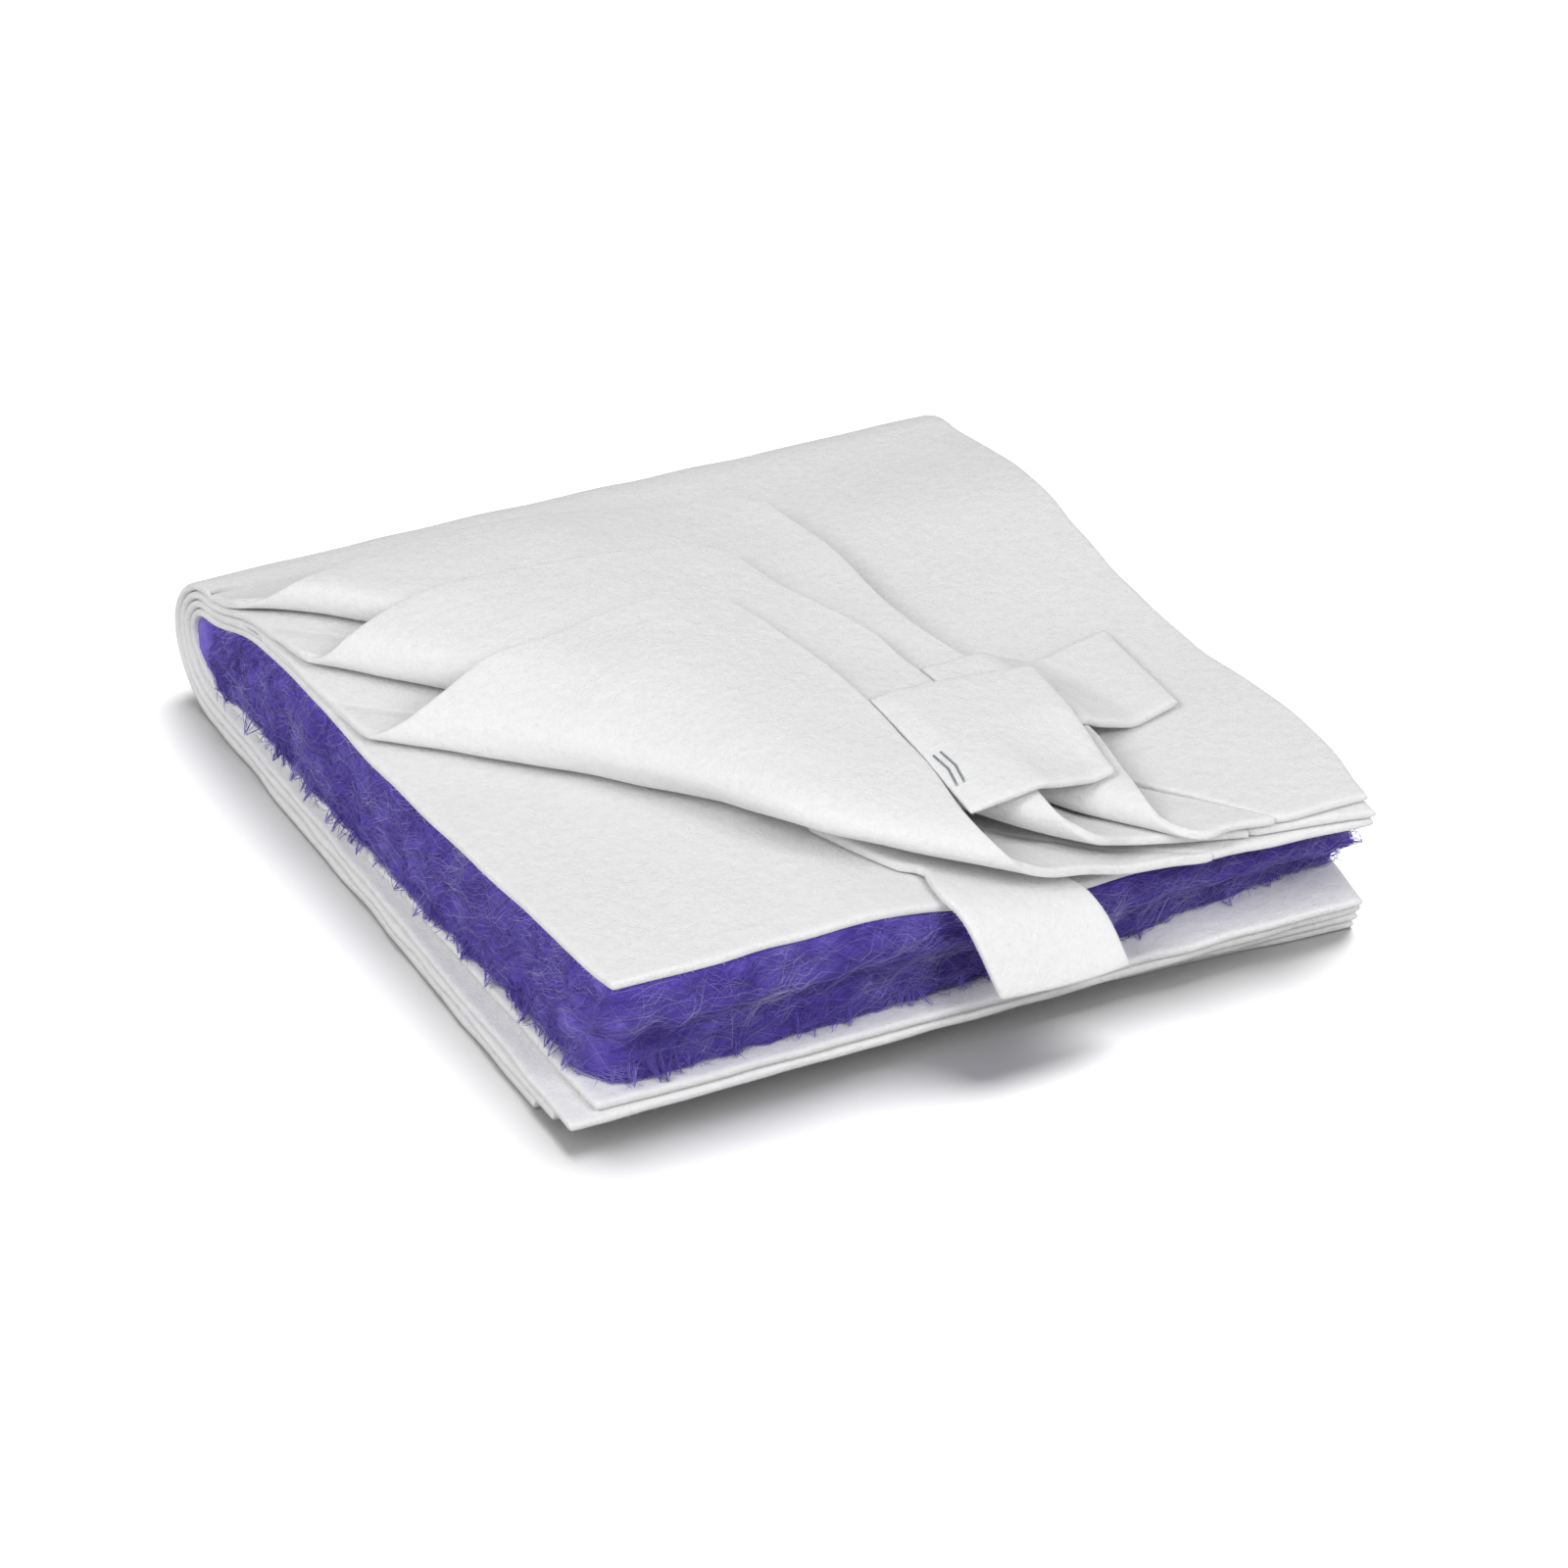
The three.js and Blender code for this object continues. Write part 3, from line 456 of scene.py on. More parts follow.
def bump(nodes, links, height, distance, strength, base=None):
    b = nodes.new("ShaderNodeBump")
    set_inputs(b, {"Distance": distance, "Strength": strength})
    links.new(height, b.inputs["Height"])
    if base is not None:
        links.new(base, b.inputs["Normal"])
    return b.outputs["Normal"]


def felt_material(name, light, dark):
    material, nodes, links, bsdf = nodes_of(name)
    place = nodes.new("ShaderNodeTexCoord").outputs["Object"]
    cloud = noise(nodes, links, place, scale=420, detail=6, rough=.72)
    links.new(ramp(nodes, links, cloud, [(.36, dark), (.58, light)]), bsdf.inputs["Base Color"])
    fibres = noise(nodes, links, place, scale=1300, detail=6, rough=.75)
    knots = noise(nodes, links, place, scale=300)
    knotty = bump(nodes, links, knots, distance=.0012, strength=.5)
    fibrous = bump(nodes, links, fibres, distance=.0006, strength=.8, base=knotty)
    links.new(fibrous, bsdf.inputs["Normal"])
    set_inputs(bsdf, {"Roughness": .96, "Specular IOR Level": .15,
                      "Sheen Weight": .12, "Sheen Roughness": .5})
    return material


def fibre_material(name, dark, mid, light, scale):
    material, nodes, links, bsdf = nodes_of(name)
    place = nodes.new("ShaderNodeTexCoord").outputs["Object"]
    cloud = noise(nodes, links, place, scale, detail=5, rough=.65)
    tint = ramp(nodes, links, cloud, [(.32, dark), (.52, mid), (.72, light)])
    links.new(tint, bsdf.inputs["Base Color"])
    fine = noise(nodes, links, place, scale=1500, rough=.75)
    links.new(bump(nodes, links, fine, distance=.0006, strength=.7), bsdf.inputs["Normal"])
    set_inputs(bsdf, {"Roughness": .75, "Specular IOR Level": .25, "Sheen Weight": .1,
                      "Sheen Roughness": .4, "Sheen Tint": (.7, .62, 1, 1)})
    return material


def steel_material(name, dark, light):
    material, nodes, links, bsdf = nodes_of(name)
    place = nodes.new("ShaderNodeTexCoord").outputs["Object"]
    scratches = noise(nodes, links, place, scale=2500, detail=3)
    links.new(ramp(nodes, links, scratches, [(.3, dark), (.7, light)]), bsdf.inputs["Base Color"])
    links.new(bump(nodes, links, scratches, distance=.00005, strength=.4), bsdf.inputs["Normal"])
    set_inputs(bsdf, {"Metallic": 1, "Roughness": .38})
    return material


FELT_WHITE = felt_material("felt_white", (.925, .925, .928), (.885, .883, .887))
TAB_WHITE = felt_material("tab_white", (.94, .94, .944), (.905, .905, .909))
FLEECE = fibre_material("fleece_mass", (.088, .048, .41), (.135, .083, .53), (.24, .19, .7), 70)
STRANDS = fibre_material("fleece_strands", (.11, .068, .46), (.18, .128, .59), (.36, .31, .8), 60)
STRANDS_LIGHT = fibre_material("fleece_strands_light", (.2, .17, .52), (.4, .36, .74),
                               (.72, .69, .95), 60)
STEEL = steel_material("staple_steel", (.14, .15, .16), (.42, .43, .45))

# Felt sheets: lower panel, fold and upper panel in one piece
SHEET_STEPS = (5, 4)
FOLD_ROWS = 24


def upper_point(k, u, v):
    """A point of the upper panel: u from its crease or front edge to the fold, v from the left."""
    if k == SHEETS:
        y = mix(through(UPPER_FRONT[k], v) * DEPTH, FOLD_LINE, u)
        return mix(upper_left(y), right_edge(y), v), y
    bend = RIMS[k]["front"][0][0]
    front_y = through(UPPER_FRONT[k], 1) * DEPTH
    on_crease, _, _ = crease(k, np.minimum(v / bend, 1))
    end = np.array([right_edge(front_y), front_y])
    past_bend = np.clip((v - bend) / (1 - bend), 0, 1)
    on_front = mix(rim_root(k, "front"), end, past_bend[..., None])
    foot = np.where((v < bend)[..., None], on_crease, on_front)
    head = np.stack([mix(upper_left(FOLD_LINE), SHEET_WIDTH, v), np.full_like(v, FOLD_LINE)], -1)
    p = mix(foot, head, np.asarray(u, float)[..., None])
    x, y = p[..., 0], p[..., 1]
    x = x + (right_edge(y) - mix(end[0], SHEET_WIDTH, u)) * smooth(v, 0, 1)
    return np.maximum(x, upper_left(y)), y


def bend_rows(k):
    """Rows of sheet k from its lower front edge, round the fold, to its crease or upper front edge,
    and the share of the thickness at each point."""
    reach = FOLD_REACH - HALF - (k - 1) * PITCH * FOLD_PITCH
    u, round_u = lines(FOLD_LINE, SHEET_STEPS[0])
    v, round_v = lines(SHEET_WIDTH, SHEET_STEPS[1])
    edge_rows = len(EDGE_STEPS) - 1
    rows, shares = [], []

    def add(x, y, z, off, press):
        rows.append(np.stack(np.broadcast_arrays(x, y, z), -1))
        shares.append(off * round_v * press)

    for share, off in zip(u[:-edge_rows], round_u):
        y = mix(through(LOWER_FRONT[k], v) * DEPTH, FOLD_LINE, share)
        left = through(LOWER_LEFT[k], y / FOLD_LINE) * SHEET_WIDTH
        add(mix(left, right_edge(y), v), y, lower_middle(k), off, 1)
    left_low = through(LOWER_LEFT[k], 1) * SHEET_WIDTH
    for share in np.linspace(0, 1, FOLD_ROWS + 2)[1:-1]:
        left = mix(left_low, upper_left(FOLD_LINE), smooth(share, 0, 1))
        x = mix(left, right_edge(FOLD_LINE), v)
        angle = mix(-math.pi / 2, math.pi / 2, share)
        z = mix(lower_middle(k), sheet_height(k, x, FOLD_LINE), .5 + .5 * math.sin(angle))
        press = mix(1, FOLD_PRESS, smooth(z, 0, FOLD_HEIGHT))
        add(x, FOLD_LINE + reach * math.cos(angle), z, 1, press)
    for share, off in zip(u[::-1][edge_rows:], round_u[::-1][edge_rows:]):
        x, y = upper_point(k, share, v)
        add(x, y, sheet_height(k, x, y), off, pressed(y))
    return np.array(rows), np.array(shares)


# The felt's slight hills: their height, how far apart they are, and the heights between which they
# set in. Its wavy cut edge: depth, distance apart, and how fast it fades from the sides and ends.
UNEVEN = .22
HILLS = (34, 15)
HILLS_FROM = (6, 25)
EDGE_WAVE = .45
EDGE_HILLS = 26
SIDE_FADE = 14
END_FADE = 22


def uneven(grid, k):
    """The felt's hills, the same for all layers so that they stay apart, and its wavy cut edge."""
    x, y = grid[..., 0], grid[..., 1]
    out = grid.copy()
    raised = smooth(out[..., 2], *HILLS_FROM)
    out[..., 2] += raised * UNEVEN * (waves(x, y, HILLS[0], 5) + .5 * waves(x, y, HILLS[1], 6))
    rows, cols = x.shape
    i = np.arange(rows)[:, None] / (rows - 1)
    j = np.arange(cols)[None, :] / (cols - 1)
    near_side = np.exp(-np.minimum(j, 1 - j) * SIDE_FADE)
    near_end = np.exp(-np.minimum(i, 1 - i) * END_FADE)
    out[..., 0] += EDGE_WAVE * near_side * waves(x * .1, y, EDGE_HILLS, 20 + k)
    out[..., 1] += EDGE_WAVE * near_end * waves(x, y * .1, EDGE_HILLS, 30 + k)
    return out


UPPER = "upper_half"
LOWER = "lower_half"
for k in range(1, SHEETS + 1):
    rows, off = bend_rows(k)
    obj = shell(f"felt_sheet_{k}", uneven(rows, k), off * HALF, FELT_WHITE,
                ("start", "left", "right") + (("end",) if k == SHEETS else ()), 70 + k)
    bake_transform(obj)
    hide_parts(f"sheet_{k}_lower", f"sheet_{k}_fold", f"sheet_{k}_upper")

# Turned corners. ROLLS lists where each roll begins and ends to turn; nothing here reads these
# points.
CORNER_SIDE = 210
CORNER_STEP = 3
ROLLS = {3: ((15, 132, 44), (15, 132, 59)), 2: ((16, 172, 43), (16, 172, 54)),
         1: ((100.6, 124, 42.6), (102.1, 124.9, 49.9))}
corners = {}
for k in range(1, SHEETS):
    u, round_u = lines(CORNER_SIDE, CORNER_STEP)
    v, round_v = lines(CORNER_SIDE, CORNER_STEP)
    round_u[:len(EDGE_STEPS) - 1] = 1
    grid = corner_surface(k, *np.meshgrid(u * TIP_CUT, v, indexing="ij"))
    corners[k] = shell(f"turned_corner_{k}", uneven(grid, k), np.outer(round_u, round_v) * HALF,
                       FELT_WHITE, ("end", "left", "right"), 80 + k)
    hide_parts(f"sheet_{k}_roll", f"sheet_{k}_corner")
for k, (start, end) in ROLLS.items():
    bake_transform(corners[k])

# Pull tabs. Tabs 1 and 2 lie on a height map of what is under them: over DRAPE_REACH they follow it
# closely, and over DRAPE_HOLD and DRAPE_SPAN they bridge its steps.
DRAPE_CLEARANCE = .4
DRAPE_CELL = 1.5
DRAPE_REACH = 3
DRAPE_HOLD = 6
DRAPE_SPAN = 9
CORNER_CELLS = 260
PANEL_CELLS = 220
TAB_CELLS = 80
TAB_LENGTH = 46
TAB_WIDTH = 38
TAB_STEP = 1.6


def square(end_u, count):
    return np.meshgrid(np.linspace(0, end_u, count), np.linspace(0, 1, count), indexing="ij")


def drape(layers):
    """The height of the topmost face over a grid of cells, spread and smoothed for a tab on it."""
    nx = math.ceil(SHEET_WIDTH / DRAPE_CELL) + 1
    ny = math.ceil(DEPTH / DRAPE_CELL) + 1
    heights = np.full((nx, ny), -np.inf)
    for points in layers:
        i = np.round(points[..., 0] / DRAPE_CELL).astype(int)
        j = np.round(points[..., 1] / DRAPE_CELL).astype(int)
        ok = (i >= 0) & (i < nx) & (j >= 0) & (j < ny)
        np.maximum.at(heights, (i[ok], j[ok]), points[..., 2][ok] + HALF)

    def over_window(values, reach, how):
        cells = round(reach / DRAPE_CELL)
        padded = np.pad(values, cells, constant_values=np.nan)
        shifts = [(a, b) for a in range(2 * cells + 1) for b in range(2 * cells + 1)]
        with warnings.catch_warnings():
            warnings.simplefilter("ignore")
            return how([padded[a:a + nx, b:b + ny] for a, b in shifts], axis=0)

    known = np.where(np.isfinite(heights), heights, np.nan)
    close = over_window(over_window(known, DRAPE_REACH, np.nanmax), DRAPE_REACH, np.nanmean)
    stiff = over_window(over_window(known, DRAPE_HOLD, np.nanmax), DRAPE_SPAN, np.nanmean)
    mean = over_window(np.fmax(close, stiff), DRAPE_CELL, np.nanmean)
    mean = np.where(np.isfinite(mean), mean, np.nanmin(mean))

    def at(x, y):
        cx, cy = np.clip(x / DRAPE_CELL, 0, nx - 2), np.clip(y / DRAPE_CELL, 0, ny - 2)
        i, j = np.floor(cx).astype(int), np.floor(cy).astype(int)
        near = mix(mean[i, j], mean[i + 1, j], cx - i)
        far = mix(mean[i, j + 1], mean[i + 1, j + 1], cx - i)
        return mix(near, far, cy - j)
    return at


def layers_of(k):
    """Points over turned corner k and the upper panel of its sheet."""
    x, y = upper_point(k, *square(1, PANEL_CELLS))
    corner = corner_surface(k, *square(TIP_CUT, CORNER_CELLS))
    return [corner, np.stack([x, y, sheet_height(k, x, y)], -1)]


def tab_plan(k, u, v):
    """A plan place on tab k: u from its stapled end, v from its left to its right side."""
    def side(which, axis):
        return through([(row[0], row[which][axis]) for row in TABS[k]], u)

    x, y = [mix(side(1, axis), side(2, axis), v) for axis in (0, 1)]
    return x * SHEET_WIDTH, y * DEPTH


def press_of(k, u):
    """How thin the staples press tab k: only tab 1 shows it."""
    return mix(STAPLED_PRESS, 1, smooth(u, 0, STAPLED_UNTIL)) if k == 1 else 1


def tab_grid(k, under):
    """Middle points of tab k and the share of the thickness at each."""
    u, round_u = lines(TAB_LENGTH, TAB_STEP)
    v, round_v = lines(TAB_WIDTH, TAB_STEP)
    u, v = np.meshgrid(u, v, indexing="ij")
    x, y = tab_plan(k, u, v)
    press = press_of(k, u)
    if under is None:
        drops = [through([(row[0], row[3][side]) for row in TABS[k]], u) for side in (0, 1)]
        on_sheet = sheet_height(SHEETS, x, np.maximum(y, HANG_EDGE * DEPTH))
        z = on_sheet + PITCH + TAB_CLEARANCE / 2 - mix(drops[0], drops[1], v) * FOLD_HEIGHT
    else:
        z = under(x, y) + DRAPE_CLEARANCE + HALF * press
    return np.stack([x, y, z], -1), np.outer(round_u, round_v) * press


# Tab 2 comes first, since tab 1 lies partly on it; tab 3 lies under sheet 3
unders = {3: None}
unders[2] = drape(layers_of(1))
x, y = tab_plan(2, *square(1, TAB_CELLS))
on_tab_2 = np.stack([x, y, unders[2](x, y) + DRAPE_CLEARANCE + HALF], -1)
unders[1] = drape(layers_of(1) + layers_of(2) + [on_tab_2])
tabs = {}
for k in (2, 1, 3):
    grid, off = tab_grid(k, unders[k])
    tabs[k] = shell(f"pull_tab_{k}", grid, off * HALF, TAB_WHITE, ("end", "left", "right"), 90 + k)
    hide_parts(f"tab_{k}_root", f"tab_{k}_free")
TAB_HINGES = {1: ("corner_2", (119.5, 41, 57), (123.5, 41, 57)),
              2: ("corner_1", (145.5, 61, 52), (149.5, 61, 52)),
              3: (UPPER, (116, .5, 40), (116, -3.5, 40))}
for k, (holder, start, end) in TAB_HINGES.items():
    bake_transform(tabs[k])

# Staples: a wire across each tab, its legs through the felt
CROWN = 12
CROWN_POINTS = 13
KINK = 1.08
PAIR_PITCH = 2.6
WIRE = .31
WIRE_SIDES = 8
WIRE_ACROSS = (.2, .97, .1)
LEG_STEPS = (.35, 1.7, 3.4)
# Body, place on the tab, skew, and the side of the felt that the crown is on
STAPLE_SEATS = {1: ("corner_2", (.086, .31), -.04, 1), 2: ("corner_1", (.19, .5), 0, 1),
                3: (UPPER, (.12, .79), 0, -1)}
WIDTH_THERE = {1: 50, 2: 38, 3: 38}
WIRE_ON_TOP = .12
WIRE_BELOW = .1

for k, (body, (u0, v0), skew, out) in STAPLE_SEATS.items():
    for letter, shift in (("a", -.5), ("b", .5)):
        along = np.linspace(-.5, .5, CROWN_POINTS)
        kink = KINK * (.5 - 2 * np.abs(along))
        u = u0 + (shift * PAIR_PITCH + kink + skew * along * CROWN) / TAB_LENGTH
        v = v0 - along * CROWN / WIDTH_THERE[k]
        x, y = tab_plan(k, u, v)
        if k == 3:
            z = sheet_height(SHEETS, x, y) + PITCH + TAB_CLEARANCE / 2 - HALF + WIRE_BELOW
        else:
            z = unders[k](x, y) + DRAPE_CLEARANCE + FELT * press_of(k, u) + WIRE_ON_TOP
        top = np.stack([x, y, z], -1)
        down = np.array([0, 0, -out])
        first = [top[0] + down * step for step in LEG_STEPS[::-1]]
        last = [top[-1] + down * step for step in LEG_STEPS]
        line = np.vstack([first, top, last])
        wire = tubes(f"staple_wire_{k}{letter}", line[None], np.full((1, len(line)), WIRE),
                     WIRE_SIDES, WIRE_ACROSS, STEEL)
        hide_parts(f"staple_{k}{letter}")
        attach(wire, body)

# Fleece. FLEECE_AIR and FOLD_AIR keep it off the felt; its edges are rounded over EDGE_ROUND and
# swell out with lumps (height, steepness, distance apart).
SLIT = .4
FLEECE_AIR = .15
FOLD_AIR = .2
CORNER_ROUND = (9, 4)
EDGE_ROUND = 7
INNER_SETBACK = 1.2
SETBACK_BETWEEN = (.35, .7)
BULGE = 1.7
BULGE_FROM = .13
FOLD_BULGE = 1.2
BULGE_POWER = .7
LUMPS = ((.75, 1.3, 13), (.45, 1.2, 6), (.25, 1, 3.2))
LUMP_LIMIT = 1.2
HALF_SHARE = .496
UPPER_FROM = .504
MASS_CELLS = (96, 92, 6)
FOLD_CELLS = (16, 60, 7)


def block(name, place, counts, material):
    """The closed surface of a box of places (a, b, c), each from 0 to 1."""
    na, nb, nc = counts
    i, j, k = np.meshgrid(np.arange(na + 1), np.arange(nb + 1), np.arange(nc + 1), indexing="ij")
    outer = (i == 0) | (i == na) | (j == 0) | (j == nb) | (k == 0) | (k == nc)
    number = np.full(outer.shape, -1)
    number[outer] = np.arange(outer.sum())
    points = place(i[outer] / na, j[outer] / nb, k[outer] / nc)
    faces = []
    for axis in range(3):
        for end in (0, -1):
            side = np.take(number, end, axis=axis)
            quad = np.stack([side[:-1, :-1], side[1:, :-1], side[1:, 1:], side[:-1, 1:]], -1)
            quad = quad.reshape(-1, 4)
            faces.append(quad if (end == 0) == (axis == 1) else quad[:, ::-1])
    return new_object(name, points, np.concatenate(faces).tolist(), material)


def lumps(along, z, seed):
    return sum(height * waves(along, z * steep, size, seed + i)
               for i, (height, steep, size) in enumerate(LUMPS))


def front_line(b, t):
    low = through(FLEECE_FRONT, b) * DEPTH
    high = through(INNER_FRONT, b) * DEPTH + INNER_SETBACK
    return mix(low, high, smooth(t, *SETBACK_BETWEEN))


def bulge(amount, share):
    return amount * np.sin(np.pi * np.clip(share, 0, 1)) ** BULGE_POWER


def fleece_place(a, b, t):
    """A place in the fleece: a from the front to the fold, b from the left, t from its underside."""
    radius = mix(CORNER_ROUND[0], CORNER_ROUND[1], t)
    from_side = np.clip(1 - b * SHEET_WIDTH / radius, 0, 1)
    y = mix(front_line(b, t) + radius * (1 - np.sqrt(1 - from_side**2)), FOLD_LINE, a)
    x = mix(fleece_left(y), FLEECE_RIGHT * right_edge(y), b)
    z = mix(WHITE_STACK + FLEECE_AIR, fleece_top(x, y) - FLEECE_AIR, t)
    to_front = np.clip(1 - a * FOLD_LINE / EDGE_ROUND, 0, 1)
    to_left = np.clip(1 - b * SHEET_WIDTH / EDGE_ROUND, 0, 1)
    to_right = np.clip(1 - (1 - b) * SHEET_WIDTH / EDGE_ROUND, 0, 1)
    swell = bulge(BULGE, BULGE_FROM + (1 - BULGE_FROM) * t)
    y = y - to_front * (swell + np.minimum(lumps(x, z, 41), LUMP_LIMIT) * np.sqrt(swell))
    x = (x - to_left * (swell + lumps(y, z, 51) * np.sqrt(swell))
         + to_right * (swell + lumps(y, z, 61) * np.sqrt(swell)))
    return np.stack([x, y, z], -1)


def fold_place(a, b, c):
    """A place in the fleece's fold: a round the fold, b from the left, c from the inside out."""
    x = mix(fleece_left(FOLD_LINE), FLEECE_RIGHT * right_edge(FOLD_LINE), b)
    reach = mix(SLIT / 2, FLEECE_REACH - FOLD_AIR, c)
    low = mix(fleece_middle(x, FOLD_LINE) - SLIT / 2, WHITE_STACK + FLEECE_AIR, c)
    high = mix(fleece_middle(x, FOLD_LINE) + SLIT / 2, fleece_top(x, FOLD_LINE) - FLEECE_AIR, c)
    angle = mix(-np.pi / 2, np.pi / 2, a)
    z = mix(low, high, .5 + .5 * np.sin(angle))
    y = FOLD_LINE + reach * np.cos(angle)
    swell = bulge(FOLD_BULGE, c)
    side = np.clip(1 - b * SHEET_WIDTH / EDGE_ROUND, 0, 1)
    return np.stack([x - side * (swell + .5 * lumps(y, z, 51) * np.sqrt(swell)), y, z], -1)


lower_mass = block("fleece_lower_mass", lambda a, b, c: fleece_place(a, b, c * HALF_SHARE),
                   MASS_CELLS, FLEECE)
upper_mass = block("fleece_upper_mass",
                   lambda a, b, c: fleece_place(a, b, UPPER_FROM + c * HALF_SHARE),
                   MASS_CELLS, FLEECE)
fold_mass = block("fleece_fold_mass", fold_place, FOLD_CELLS, FLEECE)
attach(lower_mass, LOWER)
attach(upper_mass, UPPER)
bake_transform(fold_mass)
for mass, node in ((lower_mass, "fleece_lower"), (upper_mass, "fleece_upper"),
                   (fold_mass, "fleece_fold")):
    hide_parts(node)

# Loose fibres of the fleece
FIBRE_POINTS = 6
FIBRE_SIDES = 3
FIBRE_ACROSS = (.31, .42, .85)
FIBRE_TAPER = np.sin(np.linspace(.25, np.pi - .15, FIBRE_POINTS)) ** .5
# How far the fibres may pass the ends of a face, in shares of its length
OVERHANG = (-.01, 1.012)


def height_share(t, d_up, x, y):
    """The share t of the fleece's height after d_up millimetres more at (x, y)."""
    return np.clip(t[:, None] + d_up / (fleece_top(x, y) - WHITE_STACK), 0, 1)


def on_front(along, t, d_along, d_up, rise):
    b = np.clip(along[:, None] + d_along / SHEET_WIDTH, *OVERHANG)
    inside = np.clip(b, 0, 1)
    p = fleece_place(0 * b, inside, height_share(t, d_up, b * SHEET_WIDTH, 0 * b))
    p[..., 0] += (b - inside) * SHEET_WIDTH
    p[..., 1] -= rise
    return p


def on_left(along, t, d_along, d_up, rise):
    a = np.clip(along[:, None] + d_along / FOLD_LINE, OVERHANG[0], 1)
    inside = np.clip(a, 0, 1)
    p = fleece_place(inside, 0 * a, height_share(t, d_up, 0 * a, a * FOLD_LINE))
    p[..., 1] += (a - inside) * FOLD_LINE
    p[..., 0] -= rise
    return p


def on_right(along, t, d_along, d_up, rise):
    a = np.clip(along[:, None] + d_along / FOLD_LINE, OVERHANG[0], 1)
    share = height_share(t, d_up, 0 * a + SHEET_WIDTH, a * FOLD_LINE)
    p = fleece_place(np.clip(a, 0, 1), 0 * a + 1, share)
    p[..., 0] += rise
    return p


SLOPE_SPREAD = .28
TILT_SPREAD = .25


def wisps(count, face, length, lean, lift, curl, seed, zone):
    """Fibres lying along one face of the fleece, at that mean slope and lift off it."""
    r = np.random.default_rng(seed)
    along = r.uniform(0, 1, count)
    t = zone[0] + (zone[1] - zone[0]) * r.uniform(0, 1, count)
    size = (r.uniform(length[0], length[1], count) * r.uniform(.5, 1, count))[:, None]
    slope = (lean + r.normal(0, SLOPE_SPREAD, count))[:, None]
    s = np.linspace(-.5, .5, FIBRE_POINTS)[None]
    arch = r.normal(0, curl, count)[:, None] * (s**2 - .08) * size
    sway = r.normal(0, curl * .4, count)[:, None] * np.sin(s * 7) * size * .12
    bend = arch + sway
    run = size * s
    d_along = run * np.cos(slope) - bend * np.sin(slope)
    d_up = run * np.sin(slope) + bend * np.cos(slope)
    rise = r.uniform(lift[0], lift[1], count)[:, None] * (1 - 1.2 * s**2)
    rise = rise + r.normal(0, TILT_SPREAD, (count, 1)) * s
    return face(along, t, d_along, d_up, rise)


def side_of(side):
    """A side of the fleece: the place at a share along it and up it, the ways out and along it,
    and its length."""
    if side == "front":
        return (lambda at, t: fleece_place(0 * at, at, t), np.array([0, -1, 0]),
                np.array([1, 0, 0]), SHEET_WIDTH)
    b = 0 if side == "left" else 1
    return (lambda at, t: fleece_place(at, b + 0 * at, t), np.array([2 * b - 1, 0, 0]),
            np.array([0, 1, 0]), FOLD_LINE)


# Tufts: how far they reach down the white sheet, most of them short, how far the tip drifts and the
# ends spread along the side, how many fibres gather, and where up the side these begin
SHORT_REACH = (.8, 3.2)
LONG_REACH = (3, 5)
SHORT_SHARE = .75
DRIFT = 1.6
SPREAD = (1.2, 3.2)
TUFT_FIBRES = (6, 15)
TUFT_ROOTS = (.04, .3)
TIP_SPREAD = .22


def tufts(count, side, seed):
    """Locks that gather from the fleece's lower edge into points over the white sheet below it."""
    r = np.random.default_rng(seed)
    place, out_way, side_way, length = side_of(side)
    s = np.linspace(0, 1, FIBRE_POINTS)[None, :, None]
    out = []
    for _ in range(count):
        along = r.uniform(0, 1)
        reach = r.uniform(*(SHORT_REACH if r.uniform() < SHORT_SHARE else LONG_REACH))
        drift = r.normal(0, DRIFT) - (0 if side == "front" else 1)
        spread = r.uniform(*SPREAD)
        number = int(r.uniform(*TUFT_FIBRES))
        high = r.uniform(*TUFT_ROOTS, number)
        ends = along + r.normal(0, spread, number) / length
        start = place(np.clip(ends, 0, 1), high)
        foot = place(np.array([along]), np.zeros(1))[0]
        tip = foot + out_way * reach + side_way * drift + [0, 0, r.uniform(-.2, .5)]
        tips = tip + r.normal(0, TIP_SPREAD, (number, 3)) * [1, 1, .6]
        middle = (start + tips) / 2 + out_way * r.uniform(.2, 1.2, (number, 1)) + [0, 0, -.4]
        out.append((1 - s) ** 2 * start[:, None] + 2 * s * (1 - s) * middle[:, None]
                   + s ** 2 * tips[:, None])
    return np.concatenate(out)


# Strays: where up the side they begin, how far they reach out, swing aside and hook
STRAY_ROOTS = (.02, .2)
STRAY_REACH = (1.2, 4.6)
SWING = 2.4
HOOK = 2.2


def strays(count, side, seed):
    """Single curly fibres that stand out over the white sheet below the fleece."""
    r = np.random.default_rng(seed)
    place, out_way, side_way, _ = side_of(side)
    along = r.uniform(0, 1, count)
    start = place(along, r.uniform(*STRAY_ROOTS, count))
    s = np.linspace(0, 1, FIBRE_POINTS)[None, :, None]
    reach = r.uniform(*STRAY_REACH, (count, 1, 1))
    swing = r.normal(0, SWING, (count, 1, 1))
    hook = r.normal(0, HOOK, (count, 1, 1))
    drop = (start[:, 2] - WHITE_STACK)[:, None, None] - .3
    outward = out_way * reach * (s - .25 * s ** 3)
    sideways = side_way * (swing * s + hook * s ** 2)
    return start[:, None] + outward + sideways - np.array([0, 0, 1]) * drop * s ** .7


